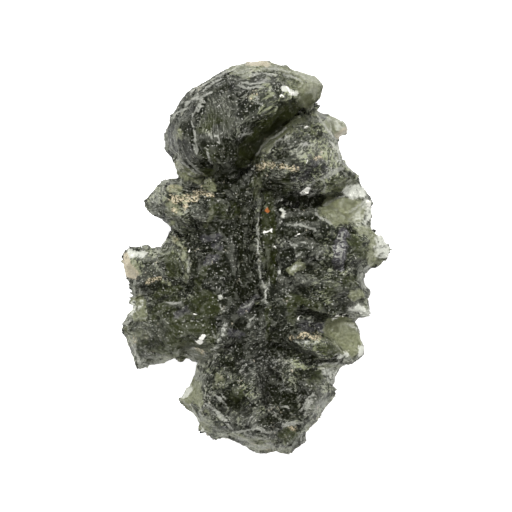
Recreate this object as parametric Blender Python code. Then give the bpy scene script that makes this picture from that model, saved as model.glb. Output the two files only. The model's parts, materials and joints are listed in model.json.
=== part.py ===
"""Moldavite: one piece of deeply etched, bottle-green natural glass, lying on its back.

The stone is a ring of lobes round a double furrow. +Y runs along the stone to its round head,
+X to the wing with the ribs, and +Z up from the surface that the stone lies on.
Everything in the tables is in millimetres and is turned into metres by MM.
"""

import math
from dataclasses import dataclass

import bmesh
import bpy
import numpy as np
from mathutils import Vector, noise

MM = 0.001

# Driving dimensions, in millimetres
VOXEL = 0.28  # grain at which the lobes are fused into one body
EDGE = 0.7  # thickness of an ordinary lobe at its rim
THIN_EDGE = 0.45  # thickness of a glassy lobe at its rim
WEB_EDGE = 2.8  # thickness of the web that joins the lobes, where it ends
REST_DEPTH = 0.35  # how much the lowest lumps are worn flat where the stone rests
TRIANGLES = 9600  # faces kept on the finished solid

# Shares of the way from a lobe's apex to its outline at which its cross-sections stand
SECTIONS = (0.15, 0.4, 0.65, 0.84, 0.95)
DOME = 0.5  # crown exponent of a full, round lobe
SLOPE = 0.85  # crown exponent of a lobe that thins steadily to its rim

GLASS = "moldavite_glass"
GLASS_GREEN = (0.045, 0.055, 0.025, 1.0)
GLASS_ROUGHNESS = 0.35


@dataclass
class Lobe:
    """A crowned slab: its outline seen from above, the place of its highest point, and its levels."""

    outline: list
    apex: tuple
    rim: float
    top: float
    bottom: float
    crown: float = DOME
    edge: float = EDGE


LOBES = {
    "head": Lobe(
        [(-9.3, 12.3), (-8.5, 13.7), (-7.5, 14.8), (-7.2, 15.7), (-6.6, 16.6), (-5.3, 17.3), (-3.3, 18.5),
         (-1.6, 19.3), (-0.6, 19.6), (0.7, 19.5), (2.6, 19.2), (4.5, 18.6), (5.4, 18.1), (6.8, 17.0),
         (6.4, 15.6), (5.8, 14.4), (3.5, 12.6), (1.2, 9.6), (-0.8, 7.4), (-2.6, 6.6), (-5.0, 7.0),
         (-7.5, 8.1), (-8.1, 8.8), (-8.4, 10.0), (-8.9, 10.8), (-9.0, 11.8)],
        apex=(-3.4, 13.6), rim=5.3, top=12.3, bottom=0.1),
    "head_cap": Lobe(
        [(-7.4, 12.0), (-6.9, 14.2), (-5.2, 15.9), (-2.6, 16.9), (0.2, 16.8), (2.2, 15.6), (1.0, 12.6),
         (-1.2, 9.8), (-4.0, 8.9), (-6.4, 9.8)],
        apex=(-3.4, 13.2), rim=9.2, top=12.5, bottom=5.0, crown=0.7, edge=1.2),
    "shoulder": Lobe(
        [(0.7, 11.2), (2.5, 13.0), (4.5, 14.4), (6.1, 15.2), (7.3, 14.7), (7.8, 13.8), (8.0, 11.4),
         (8.5, 10.2), (9.2, 9.2), (10.2, 8.2), (10.2, 7.6), (9.5, 6.9), (8.3, 6.1), (6.5, 5.6),
         (3.5, 5.2), (0.7, 5.4), (-0.3, 6.8), (-0.3, 8.6), (0.1, 10.1)],
        apex=(3.4, 10.0), rim=6.2, top=11.9, bottom=1.6),
    "pebbled_knob": Lobe(
        [(6.6, 13.6), (7.3, 13.9), (8.3, 13.8), (8.8, 13.4), (9.1, 12.8), (9.0, 12.2), (8.6, 11.6),
         (7.8, 11.2), (6.8, 11.6)],
        apex=(7.9, 12.7), rim=5.0, top=6.6, bottom=3.4),
    "clear_tongue": Lobe(
        [(8.2, 6.4), (9.6, 6.9), (10.2, 7.2), (10.9, 6.8), (11.3, 6.3), (11.9, 5.8), (11.9, 5.0),
         (11.9, 4.3), (11.7, 3.6), (11.3, 2.6), (9.5, 2.4), (8.3, 2.8), (7.0, 3.4), (6.0, 4.5), (6.6, 5.8)],
        apex=(8.0, 4.7), rim=5.6, top=7.5, bottom=4.1, crown=SLOPE, edge=THIN_EDGE),
    "wing": Lobe(
        [(1.6, 5.3), (4.5, 5.4), (6.3, 4.5), (7.5, 3.9), (9.0, 3.2), (10.5, 3.0), (11.5, 2.7), (12.0, 2.2),
         (12.5, 1.4), (12.8, 0.6), (12.7, -0.2), (12.5, -0.8), (11.8, -1.2), (11.0, -1.4), (10.9, -2.0),
         (11.0, -2.7), (11.3, -3.2), (11.1, -4.2), (11.2, -5.0), (11.7, -6.0), (9.7, -5.8), (8.5, -6.2),
         (7.0, -6.6), (5.0, -6.8), (3.0, -6.2), (1.5, -5.2), (0.7, -2.7), (0.3, 0.8), (0.5, 4.3)],
        apex=(5.2, -0.4), rim=5.8, top=10.9, bottom=0.0),
    "clear_knob": Lobe(
        [(11.4, 2.7), (12.5, 2.4), (13.0, 2.1), (13.3, 1.5), (13.6, 1.0), (13.7, 0.2), (13.2, 0.0),
         (12.7, -0.3), (11.9, 0.0)],
        apex=(12.2, 1.2), rim=5.4, top=6.6, bottom=4.4, crown=SLOPE, edge=THIN_EDGE),
    "clear_petal": Lobe(
        [(6.6, -5.6), (8.0, -5.5), (9.0, -5.8), (10.0, -6.1), (10.5, -6.8), (10.5, -7.7), (10.6, -8.6),
         (11.1, -9.1), (10.8, -9.9), (10.1, -9.8), (9.5, -9.8), (8.3, -9.2), (6.8, -8.6)],
        apex=(8.4, -7.5), rim=5.0, top=6.5, bottom=3.7, crown=SLOPE, edge=THIN_EDGE),
    "hip": Lobe(
        [(1.5, -5.0), (3.5, -5.6), (6.0, -6.1), (7.7, -7.5), (9.0, -8.9), (9.9, -10.0), (9.5, -10.5),
         (8.7, -10.9), (7.7, -11.2), (6.3, -12.2), (4.5, -12.2), (2.5, -11.4), (1.0, -9.8), (0.7, -7.2)],
        apex=(4.6, -8.7), rim=5.4, top=9.6, bottom=1.6, crown=SLOPE),
    "foot": Lobe(
        [(-5.8, -11.7), (-6.2, -12.6), (-6.3, -13.8), (-6.4, -15.1), (-5.5, -16.5), (-5.4, -17.3),
         (-4.2, -17.4), (-3.8, -17.8), (-2.5, -17.8), (-1.0, -18.5), (-0.6, -19.4), (0.3, -19.8),
         (3.5, -19.8), (4.1, -19.4), (4.6, -18.7), (4.8, -17.9), (5.8, -17.2), (5.9, -16.5), (6.5, -16.0),
         (7.0, -15.2), (7.3, -14.5), (7.6, -13.5), (8.1, -12.1), (8.0, -11.0), (7.2, -9.6), (4.5, -8.4),
         (1.5, -7.6), (-1.5, -7.6), (-3.8, -8.8), (-4.9, -10.0)],
        apex=(0.6, -12.8), rim=5.2, top=9.9, bottom=0.0),
    "foot_fin": Lobe(
        [(-4.6, -9.8), (-5.4, -11.4), (-6.5, -12.4), (-7.3, -13.2), (-8.2, -14.1), (-7.4, -14.8),
         (-5.9, -16.0), (-4.6, -16.0), (-3.8, -13.4)],
        apex=(-5.2, -13.5), rim=4.6, top=6.4, bottom=3.2, crown=SLOPE, edge=THIN_EDGE),
    "hind_lobe": Lobe(
        [(-12.4, -4.2), (-11.5, -3.9), (-9.5, -3.6), (-6.5, -3.2), (-4.0, -3.0), (-1.4, -3.6),
         (-0.4, -6.2), (-0.6, -8.6), (-2.6, -9.8), (-4.5, -10.2), (-5.7, -10.3), (-6.3, -10.1),
         (-7.0, -10.0), (-8.0, -10.2), (-9.0, -10.3), (-9.9, -10.8), (-10.7, -10.8), (-11.6, -11.1),
         (-12.0, -10.5), (-12.2, -9.7), (-12.5, -8.9), (-12.9, -8.5), (-13.2, -7.8), (-13.6, -6.8),
         (-13.1, -6.5), (-12.6, -6.0), (-12.6, -5.0)],
        apex=(-5.6, -6.4), rim=5.2, top=9.4, bottom=0.1, crown=SLOPE),
    "middle_lobe": Lobe(
        [(-13.6, -0.4), (-13.2, 0.3), (-12.7, 0.9), (-12.0, 1.1), (-10.5, 0.9), (-9.5, 1.0), (-9.2, 1.6),
         (-8.8, 2.3), (-7.8, 2.3), (-6.5, 2.6), (-4.0, 2.6), (-2.0, 1.6), (-1.6, -3.2), (-4.0, -4.3),
         (-6.5, -4.2), (-9.5, -4.0), (-11.5, -3.8), (-12.6, -3.6), (-12.5, -2.8), (-12.7, -2.3),
         (-12.9, -1.7), (-13.3, -1.0)],
        apex=(-6.2, -0.8), rim=5.4, top=9.0, bottom=1.6, crown=SLOPE),
    "fore_lobe": Lobe(
        [(-10.8, 4.8), (-10.9, 5.4), (-10.8, 6.0), (-10.3, 6.6), (-9.7, 7.1), (-9.1, 7.5), (-8.7, 7.9),
         (-7.9, 7.9), (-7.0, 7.6), (-6.2, 7.3), (-5.0, 7.0), (-3.0, 7.4), (-1.5, 6.9), (-1.3, 1.7),
         (-3.0, 0.7), (-5.5, 0.7), (-7.0, 1.3), (-7.8, 2.2), (-8.3, 2.8), (-9.2, 3.5), (-10.0, 4.1)],
        apex=(-5.0, 4.2), rim=5.6, top=9.6, bottom=1.9, crown=SLOPE),
    "web": Lobe(
        [(-7.0, 12.3), (-5.6, 15.4), (-2.5, 17.2), (1.5, 17.4), (4.6, 16.4), (5.4, 14.0), (6.4, 12.4),
         (7.4, 10.2), (8.6, 7.9), (7.6, 5.6), (7.8, 3.8), (10.4, 1.4), (9.6, -1.6), (9.8, -4.4),
         (7.8, -5.6), (7.2, -7.6), (7.8, -9.6), (6.4, -11.2), (6.0, -13.6), (4.2, -16.4), (0.8, -17.6),
         (-2.6, -16.2), (-4.8, -14.8), (-5.0, -11.8), (-4.0, -9.4), (-7.6, -8.8), (-10.8, -8.8),
         (-11.2, -6.6), (-10.4, -3.8), (-11.0, -0.8), (-8.4, -0.4), (-6.4, 1.6), (-8.2, 4.6),
         (-8.6, 6.0), (-5.0, 7.4), (-6.8, 9.6)],
        apex=(-0.4, -0.8), rim=5.4, top=9.6, bottom=1.2, edge=WEB_EDGE),
}


@dataclass
class Stroke:
    """A furrow or a ridge drawn with a soft tool along a path seen from above."""

    path: list
    half_width: float
    lift: float


@dataclass
class Ledge:
    """A step along a path: the surface to the left of the path stands higher, out to its reach."""

    path: list
    reach: float
    step: float


FURROWS = {
    "main_channel": Stroke([(-0.9, 7.0), (-1.3, 3.0), (-1.2, -1.2), (-0.4, -4.6)], 1.7, -2.1),
    "side_channel": Stroke([(1.1, 6.2), (1.3, 2.0), (1.4, -3.6)], 1.3, -1.5),
    "neck_valley": Stroke([(7.2, 15.4), (4.6, 13.9), (2.4, 12.6), (0.4, 10.6), (-0.8, 8.4), (-1.2, 6.6)],
                          2.4, -2.8),
    "nape": Stroke([(-6.8, 7.6), (-4.2, 7.3), (-1.4, 7.0)], 1.5, -2.0),
    "side_seam": Stroke([(-12.6, -3.9), (-9.5, -3.9), (-6.0, -3.8)], 1.2, -1.4),
    "fore_seam": Stroke([(-8.4, 2.0), (-5.8, 1.8), (-3.0, 1.4)], 1.2, -0.9),
    "shoulder_hollow": Stroke([(2.8, 5.0), (5.0, 5.3), (7.2, 5.6)], 1.7, -2.1),
    "shoulder_groove": Stroke([(2.0, 10.8), (4.2, 12.0), (6.4, 12.6)], 1.1, -0.7),
    "rib_gap_1": Stroke([(2.2, 2.6), (5.0, 2.5), (7.6, 2.1)], 1.0, -0.9),
    "rib_gap_2": Stroke([(4.2, -1.3), (6.2, -1.2), (8.6, -1.4)], 1.3, -1.1),
    "rib_gap_3": Stroke([(2.4, -3.5), (5.5, -4.1), (9.6, -4.4)], 1.1, -0.8),
    "petal_gap": Stroke([(4.0, -6.2), (6.2, -6.5), (7.4, -6.9)], 1.2, -0.9),
    "hip_gap": Stroke([(1.2, -8.8), (4.4, -10.9), (7.2, -11.3)], 1.4, -1.3),
    "foot_hollow": Stroke([(1.4, -12.4), (2.4, -13.6), (2.8, -14.6)], 2.4, -2.3),
    "foot_dimple": Stroke([(-3.4, -14.7), (-2.2, -14.7)], 1.6, -1.5),
    "hind_hollow": Stroke([(-3.6, -10.2), (-2.4, -9.2), (-1.2, -7.2)], 1.3, -1.1),
}

RIDGES = {
    "channel_rib": Stroke([(0.0, 6.0), (0.2, 1.8), (0.4, -1.2), (1.0, -4.2), (0.8, -7.0)], 0.7, 0.9),
    "shoulder_rib": Stroke([(0.6, 8.6), (3.4, 8.6), (6.4, 9.2), (9.0, 8.4)], 1.1, 0.7),
    "rib_1": Stroke([(2.4, 4.2), (5.0, 4.3), (7.4, 3.8)], 0.9, 0.6),
    "rib_2": Stroke([(2.3, 1.4), (5.0, 1.2), (8.0, 1.0)], 0.9, 0.6),
    "rib_3": Stroke([(2.6, -0.4), (5.0, -0.1), (7.6, 1.4)], 0.8, 0.5),
    "rib_4": Stroke([(2.6, -2.4), (5.6, -2.4), (10.0, -2.6)], 1.0, 0.7),
    "rib_5": Stroke([(1.6, -4.6), (5.2, -5.2), (9.0, -5.3)], 0.8, 0.5),
    "hip_rib": Stroke([(3.4, -7.4), (6.0, -8.6), (9.4, -9.8)], 1.0, 0.9),
    "hind_rib": Stroke([(-2.4, -6.6), (-3.8, -8.4), (-4.8, -9.3)], 1.0, 0.9),
    "hind_band": Stroke([(-3.4, -5.0), (-6.4, -6.0), (-10.0, -6.6)], 1.4, 0.5),
    "foot_brim": Stroke([(-6.4, -14.4), (-4.8, -15.4), (-3.2, -16.1), (-1.8, -17.0), (0.4, -16.9),
                         (1.7, -17.2), (3.2, -16.3), (5.0, -15.9), (5.8, -14.6), (5.9, -13.0)], 1.0, 0.9),
    "foot_bump": Stroke([(-3.4, -12.4), (-2.6, -12.2)], 1.5, 0.7),
}

LEDGES = {
    "head_ledge_1": Ledge([(-3.6, 16.6), (-4.8, 16.0), (-6.2, 15.2), (-7.6, 14.4)], 3.2, 0.8),
    "head_ledge_2": Ledge([(-1.6, 17.9), (-3.6, 17.5), (-5.2, 16.4)], 2.2, 0.6),
    "head_ledge_3": Ledge([(5.0, 16.9), (2.0, 18.2), (-0.6, 18.0), (-2.0, 17.3)], 2.6, 0.8),
    "head_ledge_4": Ledge([(3.0, 16.4), (2.0, 17.0), (-1.6, 16.6), (-3.0, 15.8)], 2.2, 0.6),
    "head_flank": Ledge([(-6.6, 10.0), (-4.0, 8.8), (-1.6, 9.4), (0.4, 11.6), (2.4, 14.6)], 3.0, 0.9),
    "shoulder_cliff": Ledge([(-0.4, 8.4), (0.2, 10.2), (1.6, 11.9), (3.2, 13.0), (5.6, 14.3)][::-1], 4.0, 1.2),
    "shoulder_foot": Ledge([(7.2, 6.2), (4.6, 6.5), (2.6, 6.2)][::-1], 2.0, 0.7),
    "left_shelf": Ledge([(-7.3, 4.4), (-6.6, 1.6), (-6.5, -1.4), (-6.2, -4.4)], 4.5, 1.0),
    "wing_end": Ledge([(8.6, -0.6), (9.3, 1.6), (8.8, 3.4)], 3.0, 0.9),
    "wing_toe": Ledge([(10.4, -4.8), (10.0, -2.6), (9.0, -0.8)], 3.0, 0.8),
    "hind_step": Ledge([(-9.8, -4.6), (-9.4, -7.2), (-8.4, -9.6)], 3.5, 0.6),
    "foot_step": Ledge([(-4.4, -17.2), (-0.8, -17.9), (2.2, -18.2), (4.6, -17.2)], 2.4, 0.7),
}

UNDER_FURROWS = {
    "neck": Stroke([(-7.2, 7.3), (-4.0, 6.4), (-1.4, 7.4), (2.0, 5.2)], 2.6, 2.1),
    "tongue_hollow": Stroke([(9.6, 3.0), (6.4, 4.6), (3.8, 4.2)], 2.2, 1.6),
    "waist": Stroke([(-5.2, -9.9), (-3.4, -8.0), (-0.6, -8.6), (1.6, -6.6)], 2.3, 1.9),
    "petal_hollow": Stroke([(9.4, -6.6), (5.6, -7.2), (3.2, -10.0)], 2.0, 1.4),
    "left_gap": Stroke([(-12.0, -3.9), (-8.4, -3.2), (-6.0, -4.6), (-3.6, -4.0)], 1.7, 1.4),
    "fore_gap": Stroke([(-8.6, 2.2), (-6.0, 0.8), (-3.4, 2.0)], 1.7, 1.3),
    "belly": Stroke([(-2.6, 2.4), (0.2, 0.4), (-0.6, -3.4)], 2.4, 1.2),
    "wing_gap": Stroke([(11.4, -1.4), (8.4, -0.4), (6.0, -2.2)], 1.5, 1.0),
}

# How the etch eats the whole surface: size of each pattern's cell, and how far it moves the surface
CREST_CELL, CREST_HEIGHT = 5.2, 0.42
CREST_MIDDLE = 1.05  # the crest pattern's usual value
CUP_CELL, CUP_DEPTH = 2.3, 1.05
CUP_MIDDLE = 0.36  # a cup pattern's usual distance from its nearest centre, in cells
FEET_HEIGHT = 2.4  # below this the etch fades, so that the lowest lumps stay level
FEET_SHARE = 0.35  # how much of the etch the lowest lumps keep
SIDE_REACH = 0.35  # how much of a stroke still acts where the surface stands upright


def clear_scene():
    for obj in list(bpy.data.objects):
        bpy.data.objects.remove(obj, do_unlink=True)


def mesh_object(name, points, faces):
    mesh = bpy.data.meshes.new(name)
    mesh.from_pydata(points, [], faces)
    mesh.update()
    obj = bpy.data.objects.new(name, mesh)
    bpy.context.scene.collection.objects.link(obj)
    return obj


def section_levels(lobe):
    """(share of the outline, height) of each ring, from the underside's middle to the top's."""
    half_edge = lobe.edge / 2
    below, above = lobe.rim - half_edge, lobe.rim + half_edge
    crown = {share: (1 - share**2) ** lobe.crown for share in SECTIONS}
    under = [(share, below - (below - lobe.bottom) * crown[share]) for share in SECTIONS]
    over = [(share, above + (lobe.top - above) * crown[share]) for share in reversed(SECTIONS)]
    return [*under, (1.0, below), (1.0, above), *over]


def build_lobe(name, lobe):
    """A closed solid of rings drawn in from the outline to the lobe's apex."""
    count = len(lobe.outline)
    ax, ay = lobe.apex
    points, faces = [], []
    levels = section_levels(lobe)
    for share, height in levels:
        points += [((ax + (x - ax) * share) * MM, (ay + (y - ay) * share) * MM, height * MM)
                   for x, y in lobe.outline]
    for ring in range(len(levels) - 1):
        low, high = ring * count, (ring + 1) * count
        for i in range(count):
            j = (i + 1) % count
            faces.append((low + i, high + i, high + j, low + j))
    points += [(ax * MM, ay * MM, lobe.bottom * MM), (ax * MM, ay * MM, lobe.top * MM)]
    foot, peak = len(points) - 2, len(points) - 1
    last = (len(levels) - 1) * count
    for i in range(count):
        j = (i + 1) % count
        faces.append((foot, i, j))
        faces.append((peak, last + j, last + i))
    return mesh_object(name, points, faces)


def apply_modifiers(obj):
    """Replaces the object's mesh with the one that its modifiers make."""
    bpy.context.view_layer.update()
    graph = bpy.context.evaluated_depsgraph_get()
    made = bpy.data.meshes.new_from_object(obj.evaluated_get(graph))
    obj.modifiers.clear()
    obj.data = made


def regrain(stone, softenings):
    """Remakes the surface on an even grid, and rounds it off a little."""
    remesh = stone.modifiers.new("Regrain", "REMESH")
    remesh.mode = "VOXEL"
    remesh.voxel_size = VOXEL * MM
    soften = stone.modifiers.new("Soften", "SMOOTH")
    soften.iterations = softenings
    apply_modifiers(stone)


def fuse_lobes():
    """One body from all the lobes, by remeshing them together on a fine grid."""
    lobes = [build_lobe(name, lobe) for name, lobe in LOBES.items()]
    for obj in bpy.data.objects:
        obj.select_set(obj in lobes)
    bpy.context.view_layer.objects.active = lobes[0]
    bpy.ops.object.join()
    stone = bpy.context.view_layer.objects.active
    stone.name = "moldavite"
    regrain(stone, softenings=1)
    return stone


def keep_largest_body(mesh):
    """Drops the crumbs that the grid leaves beside or inside the stone."""
    shape = bmesh.new()
    shape.from_mesh(mesh)
    unseen, bodies = set(shape.verts), []
    while unseen:
        body, edge = set(), [unseen.pop()]
        while edge:
            vert = edge.pop()
            body.add(vert)
            found = {link.other_vert(vert) for link in vert.link_edges} & unseen
            unseen -= found
            edge += found
        bodies.append(body)
    bodies.sort(key=len)
    for crumb in bodies[:-1]:
        bmesh.ops.delete(shape, geom=list(crumb), context="VERTS")
    shape.to_mesh(mesh)
    shape.free()


def read_surface(mesh):
    """Its points in millimetres and their normals."""
    count = len(mesh.vertices)
    points, normals = np.empty(count * 3), np.empty(count * 3)
    mesh.vertices.foreach_get("co", points)
    mesh.vertices.foreach_get("normal", normals)
    return points.reshape(-1, 3) / MM, normals.reshape(-1, 3)


def write_points(mesh, points):
    mesh.vertices.foreach_set("co", (points * MM).ravel())
    mesh.update()


def along_path(plan, path):
    """For each point of the plan: its distance from the path, which side it is on, and how near
    it stands to the path's ends, measured along the path."""
    nearest = np.full(len(plan), np.inf)
    side, travel = np.zeros(len(plan)), np.zeros(len(plan))
    walked = 0.0
    for start, end in zip(path, path[1:]):
        start, run = np.array(start), np.subtract(end, start)
        length = math.hypot(*run)
        offset = plan - start
        share = np.clip(offset @ run / length**2, 0, 1)
        distance = np.linalg.norm(offset - share[:, None] * run, axis=1)
        closer = distance < nearest
        nearest[closer] = distance[closer]
        cross = run[0] * offset[:, 1] - run[1] * offset[:, 0]
        side[closer] = np.sign(cross[closer])
        travel[closer] = (walked + share * length)[closer]
        walked += length
    return nearest, side, np.minimum(travel, walked - travel)


def bell(distance, half_width):
    """1 on the path, easing down to 0 at the half width."""
    return np.clip(1 - (distance / half_width) ** 2, 0, 1) ** 2


def draw_strokes(mesh, strokes, facing=1):
    """Lifts or sinks the side that faces up (1) or down (-1) along each stroke. Where strokes
    cross, the strongest one counts, so that crossing furrows don't add up to a hole."""
    points, normals = read_surface(mesh)
    hold = np.clip(normals[:, 2] * facing + SIDE_REACH, 0, 1)
    rise = np.zeros(len(points))
    for stroke in strokes.values():
        distance, _, _ = along_path(points[:, :2], stroke.path)
        move = stroke.lift * bell(distance, stroke.half_width)
        rise = np.where(np.abs(move) > np.abs(rise), move, rise)
    points[:, 2] += rise * hold
    write_points(mesh, points)


def cut_ledges(mesh, ledges):
    """Steps the upper surface up on the left of each ledge and down on its right."""
    points, normals = read_surface(mesh)
    hold = np.clip(normals[:, 2] + SIDE_REACH, 0, 1)
    rise = np.zeros(len(points))
    for ledge in ledges.values():
        distance, side, from_end = along_path(points[:, :2], ledge.path)
        ends = np.clip(from_end / (ledge.reach / 2), 0, 1)
        rise += 0.5 * ledge.step * side * bell(distance, ledge.reach) * ends
    points[:, 2] += rise * hold
    write_points(mesh, points)


def etch(mesh):
    """Raises the surface in sharp crests, and eats it in cups that meet in edges."""
    points, normals = read_surface(mesh)
    moves = np.empty(len(points))
    for i, point in enumerate(points):
        crest = noise.ridged_multi_fractal(Vector(point) / CREST_CELL, 0.9, 2.1, 2, 1.0, 1.6)
        cup = noise.voronoi(Vector(point) / CUP_CELL)[0][0]
        moves[i] = CREST_HEIGHT * (crest - CREST_MIDDLE) + CUP_DEPTH * (cup - CUP_MIDDLE)
    keep = np.clip(points[:, 2] / FEET_HEIGHT, FEET_SHARE, 1)
    write_points(mesh, points + normals * (moves * keep)[:, None])


def thin_out(stone, triangles):
    """Keeps about this many triangles, most of them where the surface bends."""
    faces = sum(len(polygon.vertices) - 2 for polygon in stone.data.polygons)
    thin = stone.modifiers.new("Thin out", "DECIMATE")
    thin.ratio = triangles / faces
    thin.use_collapse_triangulate = True
    apply_modifiers(stone)


def wear_flat(stone):
    """Cuts the lowest lumps flat, so that the stone rests on them, and centres it on the origin."""
    points, _ = read_surface(stone.data)
    middle = (points.min(0) + points.max(0)) / 2
    lowest = points[:, 2].min() + REST_DEPTH
    write_points(stone.data, points - (middle[0], middle[1], lowest))
    reach = 40 * MM
    ground = mesh_object(
        "ground_cutter",
        [(x * reach, y * reach, z * reach) for z in (-1, 0) for y in (-1, 1) for x in (-1, 1)],
        [(0, 2, 3, 1), (4, 5, 7, 6), (0, 1, 5, 4), (2, 6, 7, 3), (0, 4, 6, 2), (1, 3, 7, 5)],
    )
    ground.hide_render = True
    ground.display_type = "WIRE"
    cut = stone.modifiers.new("Rest", "BOOLEAN")
    cut.operation = "DIFFERENCE"
    cut.solver = "EXACT"
    cut.object = ground
    apply_modifiers(stone)
    bpy.data.objects.remove(ground, do_unlink=True)


def glass_material():
    glass = bpy.data.materials.new(GLASS)
    glass.use_nodes = True
    shader = glass.node_tree.nodes["Principled BSDF"]
    shader.inputs["Base Color"].default_value = GLASS_GREEN
    shader.inputs["Roughness"].default_value = GLASS_ROUGHNESS
    shader.inputs["Metallic"].default_value = 0.0
    glass.diffuse_color = GLASS_GREEN
    return glass


def main():
    clear_scene()
    stone = fuse_lobes()
    draw_strokes(stone.data, FURROWS)
    draw_strokes(stone.data, UNDER_FURROWS, facing=-1)
    regrain(stone, softenings=1)
    draw_strokes(stone.data, RIDGES)
    cut_ledges(stone.data, LEDGES)
    regrain(stone, softenings=0)
    keep_largest_body(stone.data)
    etch(stone.data)
    thin_out(stone, TRIANGLES)
    wear_flat(stone)
    stone.data.materials.append(glass_material())


main()
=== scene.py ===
# %% [markdown]
# # A moldavite, finished in Blender
#
# Moldavite is natural green glass. Acid soil has eaten this piece for millions of years, so that it is a
# ring of thin lobes round a deep double furrow, with needle-fine grooves all over its skin. The packed
# model gives the stone's true size and its large forms. This lesson adds the fine relief, the glass and
# the light.

# %% Load the frame
import json
import math
from typing import NamedTuple

import bpy
import numpy as np
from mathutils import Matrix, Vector, noise
from mathutils.bvhtree import BVHTree
from mathutils.kdtree import KDTree

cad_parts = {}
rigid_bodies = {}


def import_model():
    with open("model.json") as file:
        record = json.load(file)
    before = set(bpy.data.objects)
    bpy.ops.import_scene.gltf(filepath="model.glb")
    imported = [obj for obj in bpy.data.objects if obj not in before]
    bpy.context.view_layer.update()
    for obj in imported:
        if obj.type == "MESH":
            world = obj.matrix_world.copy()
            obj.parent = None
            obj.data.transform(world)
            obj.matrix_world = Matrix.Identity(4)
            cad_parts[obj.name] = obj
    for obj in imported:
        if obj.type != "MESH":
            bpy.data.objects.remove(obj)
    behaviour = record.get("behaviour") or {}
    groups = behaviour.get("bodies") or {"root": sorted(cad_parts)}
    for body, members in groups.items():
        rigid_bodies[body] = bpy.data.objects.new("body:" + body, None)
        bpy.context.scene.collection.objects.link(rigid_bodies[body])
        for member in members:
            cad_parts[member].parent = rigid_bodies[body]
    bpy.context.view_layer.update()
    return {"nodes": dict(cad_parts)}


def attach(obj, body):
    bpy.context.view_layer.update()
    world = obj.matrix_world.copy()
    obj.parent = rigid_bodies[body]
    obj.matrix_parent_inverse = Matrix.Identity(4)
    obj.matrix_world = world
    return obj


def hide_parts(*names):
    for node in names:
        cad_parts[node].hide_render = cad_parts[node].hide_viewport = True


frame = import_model()
cad_stone = frame["nodes"]["moldavite"]
MM = 0.001

# %% [markdown]
# ## The camera
#
# The stone lies on its back and is seen from straight above. The lens is long, so that a high lobe looks no
# larger than a low rim. The view is square, so one number, its width at the height of the stone's rim, sets
# the lens.

# %% Camera
VIEW_WIDTH = 51.2 * MM  # width of the view, at the rim's height
RIM_HEIGHT = 5.5 * MM
CAMERA_DISTANCE = 300 * MM
VIEW_CENTRE = (0.1 * MM, 0.2 * MM)

bpy.ops.object.select_all(action="DESELECT")
bpy.ops.object.camera_add(location=(*VIEW_CENTRE, RIM_HEIGHT + CAMERA_DISTANCE), rotation=(0, 0, 0))
camera = bpy.context.object
camera.name = "Camera"
camera.data.sensor_width = 36
camera.data.lens = CAMERA_DISTANCE / VIEW_WIDTH * camera.data.sensor_width
camera.data.clip_start = 0.01
bpy.context.scene.camera = camera
print("lens in mm:", round(camera.data.lens, 1))

# %% [markdown]
# ## The floor
#
# The stone lies on a white sheet. A shadow would grey the sheet, and a second light below it would need a
# glass table, so the sheet's own material glows a little. It then reads as pure white all round the stone,
# and it also lights the thin rims from below, which is where clear glass gets its green.

# %% Floor
FLOOR_SIZE = 1.2  # metres, so that its edges are out of every view
FLOOR_LEVEL = -0.02 * MM  # just under the stone's worn flats

bpy.ops.mesh.primitive_plane_add(size=FLOOR_SIZE, location=(0, 0, FLOOR_LEVEL))
floor = bpy.context.object
floor.name = "floor"
floor_finish = bpy.data.materials.new("white_paper")
floor_finish.use_nodes = True
floor_shader = floor_finish.node_tree.nodes["Principled BSDF"]
floor_shader.inputs["Base Color"].default_value = (0.93, 0.93, 0.93, 1)
floor_shader.inputs["Roughness"].default_value = 0.9
floor_shader.inputs["Specular IOR Level"].default_value = 0.1
floor_shader.inputs["Emission Color"].default_value = (1, 1, 1, 1)
floor_shader.inputs["Emission Strength"].default_value = 0.85
floor.data.materials.append(floor_finish)
print("floor:", round(floor.dimensions[0], 2), "m wide")

# %% [markdown]
# ## The light
#
# Glass shows only what it mirrors and what shines through it, so the light is as much a part of the finish
# as the material. One large soft box gives the crests their grey sheen. Two weaker ones keep the flanks from
# going black, and the darker sides leave them deep green.

# %% Lights
def soft_box(name, direction, distance, size, power):
    """An area light that looks at the stone from a direction, given as a vector from the stone."""
    away = Vector(direction).normalized()
    bpy.ops.object.light_add(type="AREA", location=away * distance)
    box = bpy.context.object
    box.name = name
    box.rotation_euler = away.to_track_quat("Z", "Y").to_euler()
    box.data.shape = "RECTANGLE"
    box.data.size, box.data.size_y = size
    box.data.energy = power
    print(name, "at", [round(x, 2) for x in box.location], "m,", power, "W")


soft_box("key_box", (-0.15, 0.50, 0.95), 0.45, (0.18, 0.14), 2.3)
soft_box("fill_box", (0.9, -0.2, 0.8), 0.5, (0.12, 0.22), 0.6)
soft_box("low_box", (-0.1, -0.9, 0.6), 0.5, (0.22, 0.10), 0.4)

world = bpy.data.worlds.new("room")
bpy.context.scene.world = world
world.use_nodes = True
world.node_tree.nodes["Background"].inputs["Color"].default_value = (1, 1, 1, 1)
world.node_tree.nodes["Background"].inputs["Strength"].default_value = 0.30
bpy.context.scene.view_settings.view_transform = "Standard"

# %% [markdown]
# ## The stone's mesh
#
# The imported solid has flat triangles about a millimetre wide. It could be subdivided, but its triangles
# are uneven, and the fine relief needs an even grid. So a copy is merged, remade on a voxel grid and
# smoothed, which takes the triangles' edges away and keeps the lobes.

# %% Copy and remesh
GRAIN = 0.13 * MM  # voxel size of the fine mesh
SMOOTHINGS = 5
noise.seed_set(8)  # so that every run bends the etch the same way
MERGE_DISTANCE = 0.001 * MM


def pick(obj):
    """Selects one object alone and makes it active."""
    bpy.ops.object.select_all(action="DESELECT")
    obj.select_set(True)
    bpy.context.view_layer.objects.active = obj


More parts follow.
